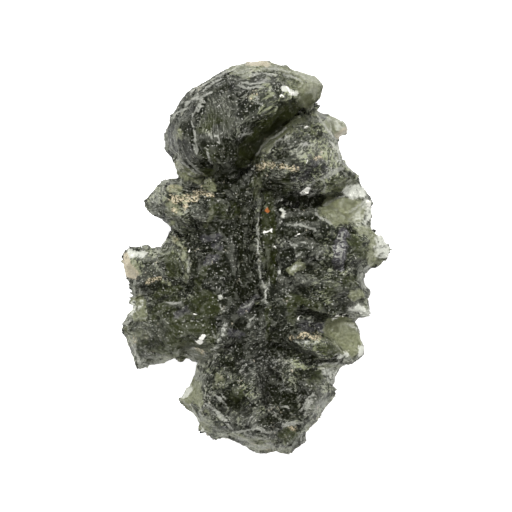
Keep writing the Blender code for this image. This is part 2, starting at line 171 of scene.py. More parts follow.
def apply_all(obj):
    """Applies every modifier of an object, in order."""
    pick(obj)
    for modifier in list(obj.modifiers):
        bpy.ops.object.modifier_apply(modifier=modifier.name)


stone = bpy.data.objects.new("moldavite_stone", cad_stone.data.copy())
bpy.context.scene.collection.objects.link(stone)
stone.data.materials.clear()
pick(stone)
bpy.ops.object.mode_set(mode="EDIT")
bpy.ops.mesh.select_all(action="SELECT")
bpy.ops.mesh.remove_doubles(threshold=MERGE_DISTANCE)
bpy.ops.object.mode_set(mode="OBJECT")

smooth_cage = stone.modifiers.new("Round the facets", "SUBSURF")
smooth_cage.levels = smooth_cage.render_levels = 1
regrain = stone.modifiers.new("Even grid", "REMESH")
regrain.mode = "VOXEL"
regrain.voxel_size = GRAIN
rounding = stone.modifiers.new("Soften", "SMOOTH")
rounding.iterations = SMOOTHINGS
apply_all(stone)
print("fine mesh:", len(stone.data.vertices), "points")

# %% [markdown]
# ## Moving many points at once
#
# The fine mesh has far too many points to move by hand, and Displace would push them along their normals
# alone. So the points are read into an array, moved by sums on the whole array, and written back. An average
# over the neighbours, taken a few times over, tells what stands out from its surroundings.

# %% Read and write points
def read_points(mesh):
    """Every point and its normal, in millimetres."""
    count = len(mesh.vertices)
    points, normals = np.empty(count * 3), np.empty(count * 3)
    mesh.vertices.foreach_get("co", points)
    mesh.vertices.foreach_get("normal", normals)
    return points.reshape(-1, 3) / MM, normals.reshape(-1, 3)


def write_points(mesh, points):
    """Puts the points back, given in millimetres."""
    mesh.vertices.foreach_set("co", (points * MM).ravel())
    mesh.update()


def neighbour_average(mesh, values, rounds):
    """Each point's values mixed with those at the other ends of its edges, so many times over."""
    edges = np.empty(len(mesh.edges) * 2, dtype=np.int64)
    mesh.edges.foreach_get("vertices", edges)
    a, b = edges.reshape(-1, 2).T
    count = np.bincount(a, minlength=len(values)) + np.bincount(b, minlength=len(values))
    for _ in range(rounds):
        total = np.zeros_like(values)
        for axis in range(values.shape[1]):
            total[:, axis] = (np.bincount(a, values[b, axis], len(values))
                              + np.bincount(b, values[a, axis], len(values)))
        values = 0.5 * values + 0.5 * total / count[:, None]
    return values


stone_points, _ = read_points(stone.data)
print("the fine mesh is", (stone_points.max(0) - stone_points.min(0)).round(2), "mm")

# %% [markdown]
# ## Which way the etch runs
#
# The grooves run outwards from the long double furrow, straight across the wings and fanning round the
# head and the foot. So each point gets three coordinates: how far along the furrow it is, how far out from
# it, and its height. A pattern stretched along the second one makes grooves that run the right way.

# %% Flow coordinates
# The furrow's path in plan, in mm, from the head to the foot.
SPINE = [(-1.4, 8.6), (-1.0, 3.0), (-0.6, -1.6), (0.5, -5.0), (0.7, -11.0), (1.8, -16.5)]
FAN_RADIUS = 5.0  # mm: how far round the ends one turn of the fan counts
BEND_SIZE, BEND = 9.0, 4.0  # mm: how long the slow bends are, and how far they carry the flow


def flow_coordinates(points):
    """How far along the furrow and round its ends, how far out from it, and how high, in mm.

    Both sides of the furrow get the same numbers, so that nothing jumps where they meet. A slow bend then
    makes the two sides differ.
    """
    plan = points[:, :2]
    nearest = np.full(len(plan), np.inf)
    around = np.zeros(len(plan))
    walked = 0.0
    for start, end in zip(SPINE, SPINE[1:]):
        start, run = np.array(start), np.subtract(end, start)
        length = math.hypot(*run)
        offset = plan - start
        share = offset @ run / length**2
        held = np.clip(share, 0, 1)
        distance = np.linalg.norm(offset - held[:, None] * run, axis=1)
        closer = distance < nearest
        nearest[closer] = distance[closer]
        cross = np.abs(run[0] * offset[:, 1] - run[1] * offset[:, 0]) / length
        turn = np.arctan2((share - held) * length, cross + 1e-6)
        place = walked + held * length + turn * FAN_RADIUS
        around[closer] = place[closer]
        walked += length
    flow = np.column_stack([around, nearest, points[:, 2]])
    return flow + BEND * np.array([noise.noise_vector(Vector(p) / BEND_SIZE) for p in points])


print("the furrow is", round(sum(math.dist(a, b) for a, b in zip(SPINE, SPINE[1:])), 1), "mm long")

# %% [markdown]
# ## Marks
#
# No noise puts a rib, a pit or a crust of soil in a given place, so these are drawn in plan, in millimetres
# from the middle of the stone. A mark is a path with a width. It can lift or sink the surface, and it can lay
# a finish. Olive tints the bare etched glass. Dark is dark bare glass, and where it sinks a pit or a groove
# it is also painted shade. Grey and violet are frost with a painted sheen. Pale is clear glass with a light
# frost, milk and cream are thick frost, white is a fleck of broken glass, tan is soil and rust a speck of it.
# Shade darkens the glass and thins its pale bristles, and glow does the opposite. A ledge is a path with a
# step up on its left. Marks and ledges get wobbled edges, so that none looks like a brush stroke.

# %% What a mark is
class Mark(NamedTuple):
    """A path drawn on the stone, with what it lays there and how far it lifts the surface."""

    finish: str  # what it lays, or "plain" for relief alone
    amount: float  # how much of it, 0 to 1
    lift: float  # mm: up for a rib or a lump, down for a pit
    half_width: float  # mm
    path: list  # plan positions in mm


class Ledge(NamedTuple):
    """A path along which the surface steps up."""

    step: float  # mm, up on the path's left side
    reach: float  # mm: how far the raised side takes to sink back
    path: list  # plan positions in mm


print("a mark has", Mark._fields)
print("a ledge has", Ledge._fields)

# %% [markdown]
# ## Marks on the head
#
# The head is the broad lobe at the top, with a crown of small planes. A dark smooth groove parts it from the
# shoulder. Its far rim is thin and pale, with soil in its cracks, and its right end is frosted.

# %% Marks on the head
HEAD_MARKS = [
    # Painted shade over dark bare glass: the head's flank that faces away from the light, down into its
    # groove.
    Mark("dark", 1.0, -0.30, 1.2, [(4.7, 14.5), (3.0, 13.7), (1.0, 12.2), (-0.4, 10.6), (-1.3, 9.2),
                                   (-2.8, 8.0)]),
    Mark("dark", 0.9, 0.0, 1.3, [(-3.6, 10.8), (-2.0, 9.6), (-3.8, 8.4)]),
    Mark("olive", 0.9, 0.0, 1.0, [(4.2, 14.4), (2.2, 13.2), (0.2, 11.4), (-1.0, 9.8)]),
    Mark("olive", 0.6, 0.0, 0.8, [(-4.4, 10.0), (-4.6, 8.8)]),
    Mark("dark", 0.6, 0.0, 1.0, [(-0.5, 13.8), (1.2, 14.6), (2.2, 15.4)]),
    Mark("dark", 0.8, -0.10, 0.6, [(-4.3, 16.8), (-3.0, 17.2)]),
    Mark("dark", 0.7, -0.10, 0.5, [(-8.4, 13.0), (-6.6, 13.0)]),
    Mark("dark", 0.6, 0.0, 0.5, [(-6.9, 15.1), (-5.4, 15.3)]),
    Mark("olive", 0.8, 0.0, 0.5, [(-5.4, 12.8), (-4.7, 12.7)]),
    Mark("olive", 1.0, -0.10, 0.5, [(3.0, 17.8), (3.7, 17.3)]),
    Mark("olive", 0.7, -0.10, 0.4, [(1.3, 18.6), (1.9, 18.6)]),
    Mark("olive", 0.7, 0.10, 0.9, [(-4.2, 13.9), (-2.8, 13.6)]),
    Mark("olive", 0.6, 0.0, 0.8, [(-1.4, 18.4), (-1.1, 18.9)]),
    Mark("grey", 1.0, -0.15, 0.55, [(-1.6, 17.4), (0.2, 17.5), (1.9, 17.5)]),
    Mark("glow", 0.45, 0.0, 0.45, [(-1.3, 17.5), (0.2, 17.5), (1.6, 17.6)]),
    Mark("grey", 0.8, 0.0, 0.5, [(-2.3, 13.5), (-1.5, 13.2), (-2.7, 12.6), (-3.6, 12.7)]),
    Mark("grey", 0.9, 0.15, 0.5, [(-4.8, 11.9), (-3.6, 11.8)]),
    Mark("grey", 0.8, 0.10, 0.4, [(-2.7, 9.3), (-2.4, 8.9)]),
    Mark("grey", 0.5, 0.22, 0.35, [(-6.2, 14.2), (-6.0, 13.0), (-5.6, 12.0), (-5.8, 10.5), (-6.0, 9.5)]),
    Mark("plain", 0.0, 0.15, 0.2, [(-4.9, 10.8), (-4.5, 9.8), (-4.3, 9.0)]),
    Mark("grey", 0.5, 0.0, 0.8, [(-7.6, 11.0), (-6.8, 10.2)]),
    Mark("grey", 0.5, 0.0, 0.4, [(-8.9, 12.6), (-8.3, 14.0), (-7.2, 15.6), (-5.6, 16.8), (-4.2, 17.9)]),
    Mark("grey", 0.8, 0.0, 1.0, [(-3.6, 15.0), (-2.6, 14.4)]),
    Mark("dark", 0.6, 0.0, 1.0, [(-6.4, 11.6), (-5.2, 9.8), (-5.4, 8.6)]),
    Mark("dark", 0.5, 0.0, 0.8, [(-8.3, 12.9), (-6.9, 13.4), (-6.6, 14.6)]),
    Mark("dark", 0.5, 0.0, 0.5, [(-7.2, 15.9), (-6.0, 16.3)]),
    Mark("grey", 0.6, 0.0, 0.7, [(0.3, 15.8), (1.4, 16.3)]),
    Mark("pale", 0.9, 0.0, 1.15, [(5.4, 17.2), (5.3, 15.9)]),
    Mark("grey", 0.9, 0.0, 0.9, [(5.4, 17.2), (5.3, 15.9)]),
    Mark("pale", 0.75, 0.0, 0.6, [(-1.8, 18.9), (0.5, 19.1), (2.8, 18.9), (4.6, 18.4), (5.8, 17.8)]),
    Mark("pale", 0.6, 0.0, 0.35, [(-2.6, 18.6), (-0.6, 17.9)]),
    Mark("pale", 0.8, 0.12, 0.5, [(-7.8, 9.4), (-7.4, 8.7), (-6.4, 8.1), (-5.2, 7.6), (-4.3, 7.2)]),
    Mark("pale", 0.5, 0.10, 0.5, [(-7.8, 12.3), (-7.5, 11.9)]),
    # Painted highlight: this milk mark and the next two white marks paint glints where the crown's facet
    # catches the light.
    Mark("milk", 0.8, 0.10, 0.32, [(2.8, 16.6), (3.9, 16.3)]),
    Mark("white", 0.8, 0.05, 0.10, [(3.2, 16.6), (3.8, 16.3)]),
    Mark("white", 0.9, 0.05, 0.12, [(2.5, 15.9), (2.9, 15.9)]),
    Mark("milk", 0.6, 0.0, 0.15, [(-3.8, 12.0), (-3.5, 11.6)]),
    Mark("white", 0.8, 0.0, 0.1, [(3.7, 17.2)]),
    Mark("cream", 0.9, 0.0, 0.30, [(-0.7, 19.4), (0.3, 19.5), (1.2, 19.4)]),
    Mark("cream", 0.45, 0.0, 0.25, [(-5.9, 16.8), (-5.3, 17.0)]),
    Mark("tan", 0.5, 0.0, 0.3, [(0.1, 16.0), (-0.8, 15.6)]),
]
print(len(HEAD_MARKS), "marks on the head")

# %% [markdown]
# ## Marks on the shoulder
#
# The shoulder is the ribbed lobe below the head's right end. It carries a frosted rim, a clear pebble at its
# tip, and deep pits with tan soil between its ribs.

# %% Marks on the shoulder
SHOULDER_MARKS = [
    # Painted light: the grey and pale marks along the shoulder's edge next to the head lighten an edge that
    # the head's dome shades.
    Mark("grey", 1.0, 0.0, 1.0, [(1.2, 10.9), (2.4, 12.0), (4.2, 12.9)]),
    Mark("pale", 0.60, 0.15, 0.5, [(0.9, 10.8), (1.9, 11.8), (3.1, 12.6), (4.5, 13.7)]),
    Mark("grey", 1.0, 0.0, 1.2, [(4.6, 10.6), (7.6, 10.6)]),
    Mark("grey", 0.8, 0.0, 0.6, [(5.4, 13.9), (6.9, 12.6), (8.2, 10.8)]),
    Mark("violet", 0.45, 0.0, 1.2, [(4.6, 8.3), (6.4, 8.9)]),
    Mark("grey", 0.8, 0.10, 0.35, [(6.2, 13.9), (7.2, 12.5), (8.2, 11.0), (9.0, 9.5), (10.0, 8.4)]),
    Mark("olive", 0.8, 0.0, 0.7, [(4.2, 13.3), (5.6, 12.6)]),
    Mark("dark", 0.9, -0.30, 0.3, [(2.4, 11.1), (4.0, 11.3), (5.5, 11.7), (6.5, 12.2)]),
    Mark("dark", 0.9, -0.30, 0.45, [(1.7, 9.9), (3.0, 10.0), (4.0, 9.7)]),
    Mark("dark", 0.55, 0.0, 0.9, [(4.6, 8.3), (6.2, 8.9)]),
    Mark("dark", 1.0, -0.50, 0.8, [(1.2, 7.1), (2.3, 6.7)]),
    Mark("dark", 1.0, -0.45, 0.6, [(3.4, 5.5), (6.7, 5.5)]),
    Mark("dark", 0.8, -0.10, 0.3, [(8.4, 8.5), (9.7, 8.3)]),
    Mark("dark", 0.8, 0.0, 0.4, [(6.9, 14.3), (7.1, 13.8)]),
    Mark("olive", 1.0, 0.15, 0.45, [(0.4, 8.2), (0.0, 7.3), (0.1, 6.2)]),
    Mark("olive", 0.6, 0.0, 0.5, [(3.1, 7.8), (3.2, 6.6)]),
    Mark("olive", 1.0, 0.20, 0.6, [(8.1, 7.2), (9.6, 7.5)]),
    Mark("pale", 0.8, 0.0, 0.35, [(8.4, 7.3), (9.6, 7.6)]),
    Mark("pale", 0.5, 0.0, 0.3, [(0.2, 7.9), (0.1, 6.4)]),
    Mark("grey", 0.9, 0.20, 0.2, [(5.0, 7.1), (5.9, 7.7), (6.6, 8.2)]),
    Mark("grey", 0.9, 0.20, 0.25, [(6.8, 6.4), (6.9, 8.0)]),
    Mark("tan", 0.9, 0.10, 0.28, [(0.4, 8.8), (0.9, 9.2), (1.6, 9.1)]),
    Mark("tan", 0.9, 0.10, 0.25, [(2.6, 9.0), (3.4, 8.8), (4.1, 8.7)]),
    Mark("tan", 0.5, 0.0, 0.25, [(6.0, 9.8), (6.8, 9.9)]),
    Mark("pale", 0.5, 0.0, 0.4, [(4.8, 14.8), (5.9, 14.3)]),
    Mark("pale", 1.0, 0.0, 0.9, [(7.8, 13.2), (8.7, 13.2)]),
    # Painted light: glow lightens the pebble at the shoulder's tip, which the lamps leave shaded.
    Mark("glow", 1.0, 0.0, 0.9, [(7.8, 13.1), (8.7, 13.0)]),
    Mark("milk", 0.45, 0.0, 0.5, [(8.3, 13.2), (9.0, 13.4)]),
    Mark("cream", 0.75, 0.0, 0.45, [(8.3, 12.3), (9.0, 12.8)]),
    Mark("plain", 0.0, 0.2, 0.5, [(8.2, 13.1), (8.9, 13.1)]),
    Mark("white", 0.95, 0.15, 0.22, [(4.6, 6.3), (4.9, 6.4), (5.2, 6.7)]),
    Mark("white", 0.9, 0.05, 0.13, [(5.1, 9.5)]),
    Mark("white", 0.8, 0.05, 0.1, [(5.0, 13.1)]),
]
print(len(SHOULDER_MARKS), "marks on the shoulder")

# %% [markdown]
# ## Marks on the clear tongue
#
# The tongue is thin and nearly clear, with a milky bruise at its tip and fine cracks across it.

# %% Marks on the clear tongue
TONGUE_MARKS = [
    Mark("grey", 1.0, 0.0, 0.5, [(6.4, 4.6), (6.8, 4.1), (7.8, 3.7)]),
    Mark("pale", 1.0, 0.0, 1.15, [(7.8, 4.7), (9.9, 4.7)]),
    Mark("milk", 0.22, 0.0, 0.9, [(7.4, 4.9), (9.2, 4.6)]),
    Mark("olive", 0.5, 0.0, 0.6, [(7.9, 5.3), (9.2, 5.3), (10.5, 5.8)]),
    Mark("milk", 0.85, 0.0, 0.75, [(9.6, 6.4), (10.5, 6.6)]),
    Mark("milk", 0.55, 0.0, 0.85, [(10.3, 4.1), (10.8, 4.2), (11.2, 5.1)]),
    Mark("white", 0.6, 0.0, 0.25, [(11.2, 5.6), (11.5, 5.7)]),
    Mark("white", 0.6, 0.05, 0.12, [(9.3, 6.1), (10.4, 6.6)]),
    Mark("white", 0.6, 0.05, 0.10, [(10.9, 4.4), (11.3, 5.3)]),
    Mark("grey", 0.7, 0.0, 0.15, [(9.5, 4.4), (10.3, 5.1), (11.1, 5.7)]),
    Mark("olive", 0.6, -0.05, 0.15, [(7.6, 5.0), (8.6, 4.4), (9.6, 3.8)]),
    Mark("plain", 0.0, 0.18, 0.2, [(9.2, 4.5), (10.3, 5.2), (11.6, 5.9)]),
    Mark("plain", 0.0, 0.18, 0.2, [(9.0, 6.2), (10.8, 6.0), (11.7, 5.8)]),
    Mark("dark", 0.8, 0.0, 0.12, [(11.5, 4.3), (11.4, 3.6)]),
]
print(len(TONGUE_MARKS), "marks on the tongue")

# %% [markdown]
# ## Marks on the right wing
#
# The wing is a row of ribs that run out from the furrow. They are lifted one by one, with a dark gap sunk
# between each two, and end at a smooth slanted face.

# %% Marks on the right wing
WING_MARKS = [
    Mark("grey", 0.8, 0.22, 0.3, [(3.0, 4.4), (5.6, 4.5)]),
    Mark("grey", 0.8, 0.22, 0.3, [(3.0, 3.2), (6.2, 3.3)]),
    Mark("grey", 0.9, 0.30, 0.45, [(2.5, 1.4), (5.5, 1.5)]),
    Mark("grey", 0.9, 0.22, 0.3, [(5.0, -0.4), (6.0, 0.1), (6.9, 0.8)]),
    Mark("grey", 1.0, 0.30, 0.65, [(3.7, -2.4), (4.8, -2.2)]),
    Mark("grey", 0.9, 0.20, 0.3, [(2.6, -1.9), (2.6, -3.0)]),
    Mark("grey", 0.8, 0.15, 0.4, [(5.5, -2.3), (7.4, -2.4), (8.8, -3.4)]),
    Mark("violet", 1.0, 0.0, 0.65, [(8.7, 2.3), (8.4, 1.0), (8.3, -0.5)]),
    Mark("grey", 0.7, 0.0, 0.5, [(8.7, 2.3), (8.4, 1.0), (8.3, -0.5)]),
    Mark("dark", 1.0, -0.35, 0.4, [(2.5, 2.4), (5.6, 2.5)]),
    Mark("dark", 0.8, -0.15, 0.35, [(3.2, 3.9), (6.0, 3.9)]),
    Mark("dark", 0.9, -0.20, 0.35, [(2.6, 0.4), (5.0, 0.6)]),
    Mark("dark", 1.0, -0.35, 0.5, [(4.9, -1.2), (6.8, -1.0)]),
    Mark("dark", 0.9, -0.30, 0.3, [(6.3, -4.1), (7.3, -5.1), (9.0, -5.0)]),
    Mark("dark", 0.8, -0.20, 0.35, [(2.3, -3.6), (3.4, -4.4), (2.2, -5.2)]),
    Mark("dark", 0.9, -0.40, 0.3, [(10.5, -4.2)]),
    Mark("olive", 0.8, 0.0, 0.7, [(9.8, 1.8), (10.4, 0.6)]),
    Mark("olive", 0.7, 0.0, 0.8, [(7.6, -3.2), (8.8, -2.4), (9.8, -2.4)]),
    Mark("olive", 0.8, 0.22, 0.45, [(3.4, -4.0), (5.0, -4.3), (6.3, -5.0)]),
    Mark("olive", 0.8, 0.0, 0.4, [(3.6, -4.8), (3.7, -6.0)]),
    Mark("pale", 0.9, 0.25, 0.5, [(9.7, -3.7), (10.3, -3.6)]),
    Mark("pale", 0.9, 0.30, 0.4, [(3.5, -1.2), (4.6, -0.7)]),
    Mark("milk", 0.5, 0.0, 0.3, [(3.6, -1.1), (4.4, -0.8)]),
    Mark("pale", 0.8, 0.0, 0.5, [(10.9, 2.8), (11.8, 2.2)]),
    Mark("milk", 0.55, 0.05, 0.22, [(2.4, -0.6), (2.4, -1.4)]),
    Mark("milk", 0.9, 0.05, 0.14, [(2.8, 4.9), (2.7, 4.3)]),
    Mark("white", 0.8, 0.05, 0.15, [(4.1, 2.2), (4.3, 2.4)]),
    Mark("milk", 0.7, 0.10, 0.10, [(3.0, -3.2), (3.4, -3.8)]),
    Mark("white", 0.8, 0.05, 0.13, [(4.2, -5.9), (4.4, -5.7)]),
    Mark("grey", 0.8, 0.20, 0.25, [(1.9, -3.8), (3.0, -4.5)]),
    Mark("grey", 1.0, 0.15, 0.5, [(9.6, -5.2), (10.6, -5.1), (11.3, -5.6)]),
    Mark("milk", 0.75, 0.10, 0.4, [(10.2, -5.1), (11.2, -5.5)]),
    Mark("grey", 0.5, 0.0, 0.3, [(10.7, -1.6), (10.9, -3.2), (11.1, -4.6)]),
    Mark("pale", 1.0, 0.0, 1.0, [(12.4, 1.4), (12.3, 0.0)]),
    Mark("milk", 1.0, 0.0, 0.75, [(12.7, 1.7), (12.9, 0.6)]),
    Mark("milk", 0.8, 0.0, 0.3, [(11.8, 1.0), (12.0, 0.5)]),
    Mark("dark", 0.8, -0.15, 0.13, [(12.2, 2.0), (12.4, 1.1), (12.3, 0.3)]),
    Mark("dark", 0.9, -0.30, 0.2, [(11.0, 0.2), (11.4, -0.2), (11.9, -0.9)]),
]
print(len(WING_MARKS), "marks on the wing")

# %% [markdown]
# ## Marks in the double furrow
#
# The furrow has two dark channels with a sharp ridge between them. The channels are bare glass, olive where
# they are shallow, and the ridge is frosted.

# %% Marks in the double furrow
MIDDLE_MARKS = [
    Mark("dark", 0.9, -0.10, 0.85, [(-1.2, 7.0), (-0.9, 4.0), (-0.8, 1.0), (-0.7, -2.2)]),
    Mark("olive", 0.8, -0.05, 0.6, [(1.3, 6.0), (1.4, 3.0), (1.4, 0.0), (1.5, -2.0)]),
    Mark("olive", 0.7, 0.0, 0.3, [(1.2, -4.8), (1.2, -8.0)]),
    Mark("grey", 0.9, 0.30, 0.2, [(0.1, 6.0), (0.2, 3.0), (0.3, 0.0), (0.5, -2.4), (0.9, -3.1)]),
    Mark("grey", 0.9, 0.25, 0.2, [(1.5, -1.9), (1.2, -3.1), (1.05, -4.6)]),
    Mark("milk", 0.65, 0.05, 0.10, [(1.45, -2.0), (1.3, -2.8), (1.15, -3.3), (1.3, -4.0)]),
    Mark("white", 0.9, 0.10, 0.12, [(0.8, 2.3), (1.1, 2.6), (1.5, 2.75)]),
    Mark("white", 0.9, 0.05, 0.12, [(1.9, 1.2)]),
    Mark("white", 0.6, 0.05, 0.15, [(-0.5, 5.7), (-0.3, 6.1)]),
    Mark("rust", 0.9, 0.05, 0.08, [(1.35, 4.9), (1.35, 4.6)]),
    Mark("grey", 0.9, 0.25, 0.35, [(-0.3, 9.0), (-0.9, 8.4), (-1.2, 7.4)]),
    Mark("violet", 0.9, 0.25, 0.35, [(0.1, -3.9), (-0.8, -4.7), (-1.3, -5.4)]),
    Mark("violet", 0.8, 0.20, 0.4, [(-2.4, -7.4), (-1.3, -7.6)]),
    Mark("grey", 0.7, 0.20, 0.3, [(0.6, -5.2), (0.8, -7.2), (0.7, -8.8)]),
    Mark("grey", 0.5, 0.0, 1.0, [(-0.9, -6.2), (-0.4, -8.4)]),
    Mark("dark", 0.9, -0.30, 0.4, [(-2.3, -6.6), (-1.1, -6.9)]),
    Mark("dark", 0.8, -0.20, 0.6, [(2.0, -6.6), (1.9, -9.0)]),
    Mark("dark", 0.7, -0.20, 0.6, [(-2.0, -2.6), (-0.6, -3.0)]),
    Mark("dark", 0.5, 0.0, 1.5, [(-4.4, 1.8), (-3.6, -1.4), (-2.8, -3.4)]),
    Mark("dark", 0.5, 0.0, 1.2, [(-2.2, -5.2), (-0.6, -7.6), (-1.2, -9.0)]),
    Mark("olive", 0.8, 0.0, 0.4, [(-4.9, -0.9), (-5.6, -2.2), (-5.8, -3.6)]),
]
print(len(MIDDLE_MARKS), "marks in the furrow")

# %% [markdown]
# ## Marks on the left lobes
#
# Three lobes reach out to the left. Their etch is coarser, with pale tips, soil in the clefts and an olive
# glow where the lowest of them is thin.

# %% Marks on the left lobes
LEFT_MARKS = [
    Mark("grey", 1.0, 0.0, 1.0, [(-9.8, 6.0), (-9.9, 5.0)]),
    Mark("dark", 0.9, -0.30, 0.2, [(-9.0, 6.9), (-8.4, 6.2), (-8.7, 5.4), (-9.3, 4.6), (-9.0, 3.7)]),
    Mark("pale", 0.9, 0.0, 0.4, [(-8.4, 6.9), (-7.8, 6.8)]),
    Mark("tan", 0.4, 0.0, 0.4, [(-8.4, 6.9), (-7.8, 6.8)]),
    Mark("tan", 0.9, 0.10, 0.35, [(-8.1, 5.8), (-7.0, 5.9), (-5.9, 5.8)]),
    Mark("tan", 0.7, 0.05, 0.35, [(-5.8, 6.4), (-4.2, 6.3)]),
    Mark("tan", 1.0, 0.15, 0.28, [(-6.9, 5.2)]),
    Mark("tan", 1.0, 0.15, 0.35, [(-7.9, 4.7)]),
    Mark("pale", 0.6, 0.0, 0.6, [(-8.3, 5.1), (-8.0, 4.6)]),
    Mark("dark", 1.0, -0.30, 0.25, [(-7.6, 5.4), (-7.3, 5.3)]),
    Mark("dark", 1.0, -0.30, 0.25, [(-6.2, 5.3), (-5.9, 5.3)]),
    Mark("pale", 0.8, 0.10, 0.3, [(-8.5, 3.3), (-8.1, 3.5)]),
    Mark("white", 0.8, 0.05, 0.12, [(-6.1, 3.7)]),
    Mark("olive", 0.9, 0.15, 0.25, [(-4.3, 4.9), (-4.4, 4.1), (-4.8, 3.2)]),
    Mark("pale", 0.6, 0.0, 0.18, [(-4.3, 4.9), (-4.4, 4.1), (-4.7, 3.4)]),
    Mark("olive", 0.6, 0.0, 0.9, [(-3.6, 5.2), (-2.6, 4.6)]),
    Mark("grey", 0.8, 0.0, 0.5, [(-5.8, 4.9), (-5.2, 4.4)]),
    Mark("dark", 1.0, -0.45, 0.5, [(-4.1, 3.1), (-2.9, 2.8)]),
    Mark("violet", 0.9, 0.25, 0.4, [(-5.0, 1.8), (-3.6, 2.0)]),
    Mark("violet", 0.9, 0.20, 0.35, [(-4.0, 1.2), (-3.6, 1.0)]),
    Mark("violet", 0.9, 0.25, 0.35, [(-4.9, -0.5), (-4.0, -0.2)]),
    Mark("grey", 0.9, 0.20, 0.35, [(-2.3, 0.8), (-2.1, -0.8), (-1.9, -1.6)]),
    Mark("dark", 1.0, -0.35, 0.35, [(-5.2, 0.7), (-4.0, 0.6)]),
    Mark("dark", 1.0, -0.30, 0.5, [(-4.5, -1.4), (-3.1, -1.2)]),
    Mark("dark", 1.0, -0.40, 0.35, [(-6.6, 2.0), (-6.4, 0.5), (-6.1, -1.0), (-5.9, -2.5)]),
    Mark("white", 0.9, 0.05, 0.12, [(-6.55, 0.85)]),
    Mark("pale", 0.5, 0.15, 0.3, [(-8.2, 1.9), (-7.3, 1.3), (-6.8, 0.0), (-6.7, -1.2), (-6.8, -2.4)]),
    Mark("tan", 0.35, 0.0, 0.35, [(-8.2, 1.9), (-7.2, 1.3)]),
    Mark("cream", 1.0, 0.0, 0.5, [(-13.2, 0.1), (-12.7, -0.8), (-12.3, -1.6)]),
    Mark("pale", 0.8, 0.0, 0.5, [(-12.2, -0.8), (-11.9, -1.4)]),
    Mark("milk", 0.75, 0.0, 0.4, [(-12.5, 0.5), (-11.2, 0.3)]),
    Mark("white", 0.45, 0.05, 0.15, [(-12.3, 0.35), (-11.7, 0.3)]),
    Mark("olive", 0.9, 0.0, 0.8, [(-8.6, 0.2), (-8.0, -1.2)]),
    Mark("grey", 0.6, 0.0, 0.6, [(-11.9, -2.2), (-10.8, -1.9)]),
    Mark("grey", 0.8, 0.10, 0.4, [(-10.9, -0.9), (-9.6, -1.3)]),
    Mark("tan", 0.8, 0.10, 0.22, [(-10.6, -2.4), (-9.7, -2.0), (-9.3, -2.1)]),
    Mark("pale", 0.7, 0.10, 0.25, [(-9.0, -2.4), (-8.5, -2.5)]),
    Mark("olive", 1.0, 0.25, 0.35, [(-9.8, -3.6), (-8.6, -3.2), (-7.8, -3.0)]),
    Mark("pale", 0.5, 0.0, 0.2, [(-9.6, -3.5), (-8.6, -3.2)]),
    Mark("dark", 0.7, -0.20, 0.4, [(-10.0, -2.9), (-9.0, -2.8)]),
    Mark("pale", 1.0, 0.10, 0.8, [(-11.7, -4.6), (-11.5, -5.5)]),
    Mark("milk", 0.9, 0.05, 0.2, [(-12.2, -4.4), (-12.2, -5.6)]),
    Mark("milk", 0.6, 0.05, 0.25, [(-11.3, -4.3), (-11.5, -5.2)]),
    Mark("dark", 0.9, -0.25, 0.2, [(-13.2, -6.7), (-11.6, -6.4), (-10.7, -6.0)]),
    Mark("tan", 0.6, 0.05, 0.3, [(-12.0, -7.9), (-11.9, -8.4)]),
    Mark("pale", 0.5, 0.0, 0.5, [(-12.7, -7.2), (-12.4, -8.4)]),
    Mark("grey", 1.0, 0.10, 0.8, [(-11.7, -7.6), (-10.6, -7.2)]),
    Mark("pale", 0.45, 0.0, 0.6, [(-11.5, -7.5), (-10.8, -7.2)]),
    Mark("grey", 0.9, 0.15, 0.25, [(-8.6, -4.6), (-7.2, -4.5)]),
    Mark("violet", 0.8, 0.10, 0.4, [(-7.7, -5.5), (-6.6, -5.2)]),
    Mark("grey", 0.5, 0.0, 0.8, [(-9.7, -6.9), (-9.3, -7.8)]),
    Mark("white", 0.8, 0.05, 0.1, [(-6.0, -5.7)]),
    Mark("white", 0.8, 0.05, 0.12, [(-6.6, -6.0)]),
    Mark("white", 0.6, 0.05, 0.13, [(-9.6, -5.3)]),
    Mark("olive", 1.0, 0.0, 1.35, [(-4.9, -4.6), (-6.0, -6.1), (-7.2, -7.4), (-7.8, -8.3)]),
    Mark("olive", 0.6, 0.0, 2.2, [(-8.6, -5.4), (-6.4, -7.0), (-5.4, -8.2)]),
    Mark("olive", 0.5, 0.0, 1.4, [(-11.4, -6.6), (-10.2, -9.4)]),
    Mark("olive", 0.8, 0.0, 0.4, [(-9.0, -9.5), (-6.8, -9.2)]),
    Mark("pale", 0.45, 0.0, 0.5, [(-7.9, -8.6), (-7.2, -8.5)]),
    Mark("white", 0.9, 0.05, 0.12, [(-7.6, -8.9)]),
    Mark("dark", 0.9, -0.30, 0.5, [(-9.9, -9.0), (-9.3, -8.9)]),
    Mark("grey", 0.8, 0.10, 0.25, [(-11.9, -9.2), (-11.4, -10.6)]),
    Mark("olive", 0.7, 0.0, 0.4, [(-10.6, -10.2), (-9.6, -10.2)]),
    Mark("grey", 1.0, 0.15, 0.5, [(-8.0, -9.7), (-6.4, -9.4), (-5.2, -9.5), (-4.6, -10.0)]),
    Mark("tan", 0.8, 0.05, 0.15, [(-5.6, -9.1), (-5.0, -9.4)]),
    Mark("white", 0.9, 0.10, 0.2, [(-5.6, -8.4), (-5.3, -8.2), (-5.0, -7.9)]),
    Mark("milk", 0.6, 0.20, 0.3, [(-3.5, -3.8)]),
    Mark("grey", 1.0, 0.40, 0.45, [(-2.9, -6.5), (-3.2, -7.5), (-3.6, -8.5), (-4.2, -9.5)]),
    Mark("milk", 0.5, 0.0, 0.3, [(-3.0, -6.7), (-3.3, -7.5)]),
    Mark("milk", 0.5, 0.0, 0.25, [(-3.5, -8.2), (-3.8, -8.7)]),
]
print(len(LEFT_MARKS), "marks on the left lobes")

# %% [markdown]
# ## Marks on the hip
#
# The hip carries a smooth clear knob, like the tongue but rounder, and a fold with soil beside it.

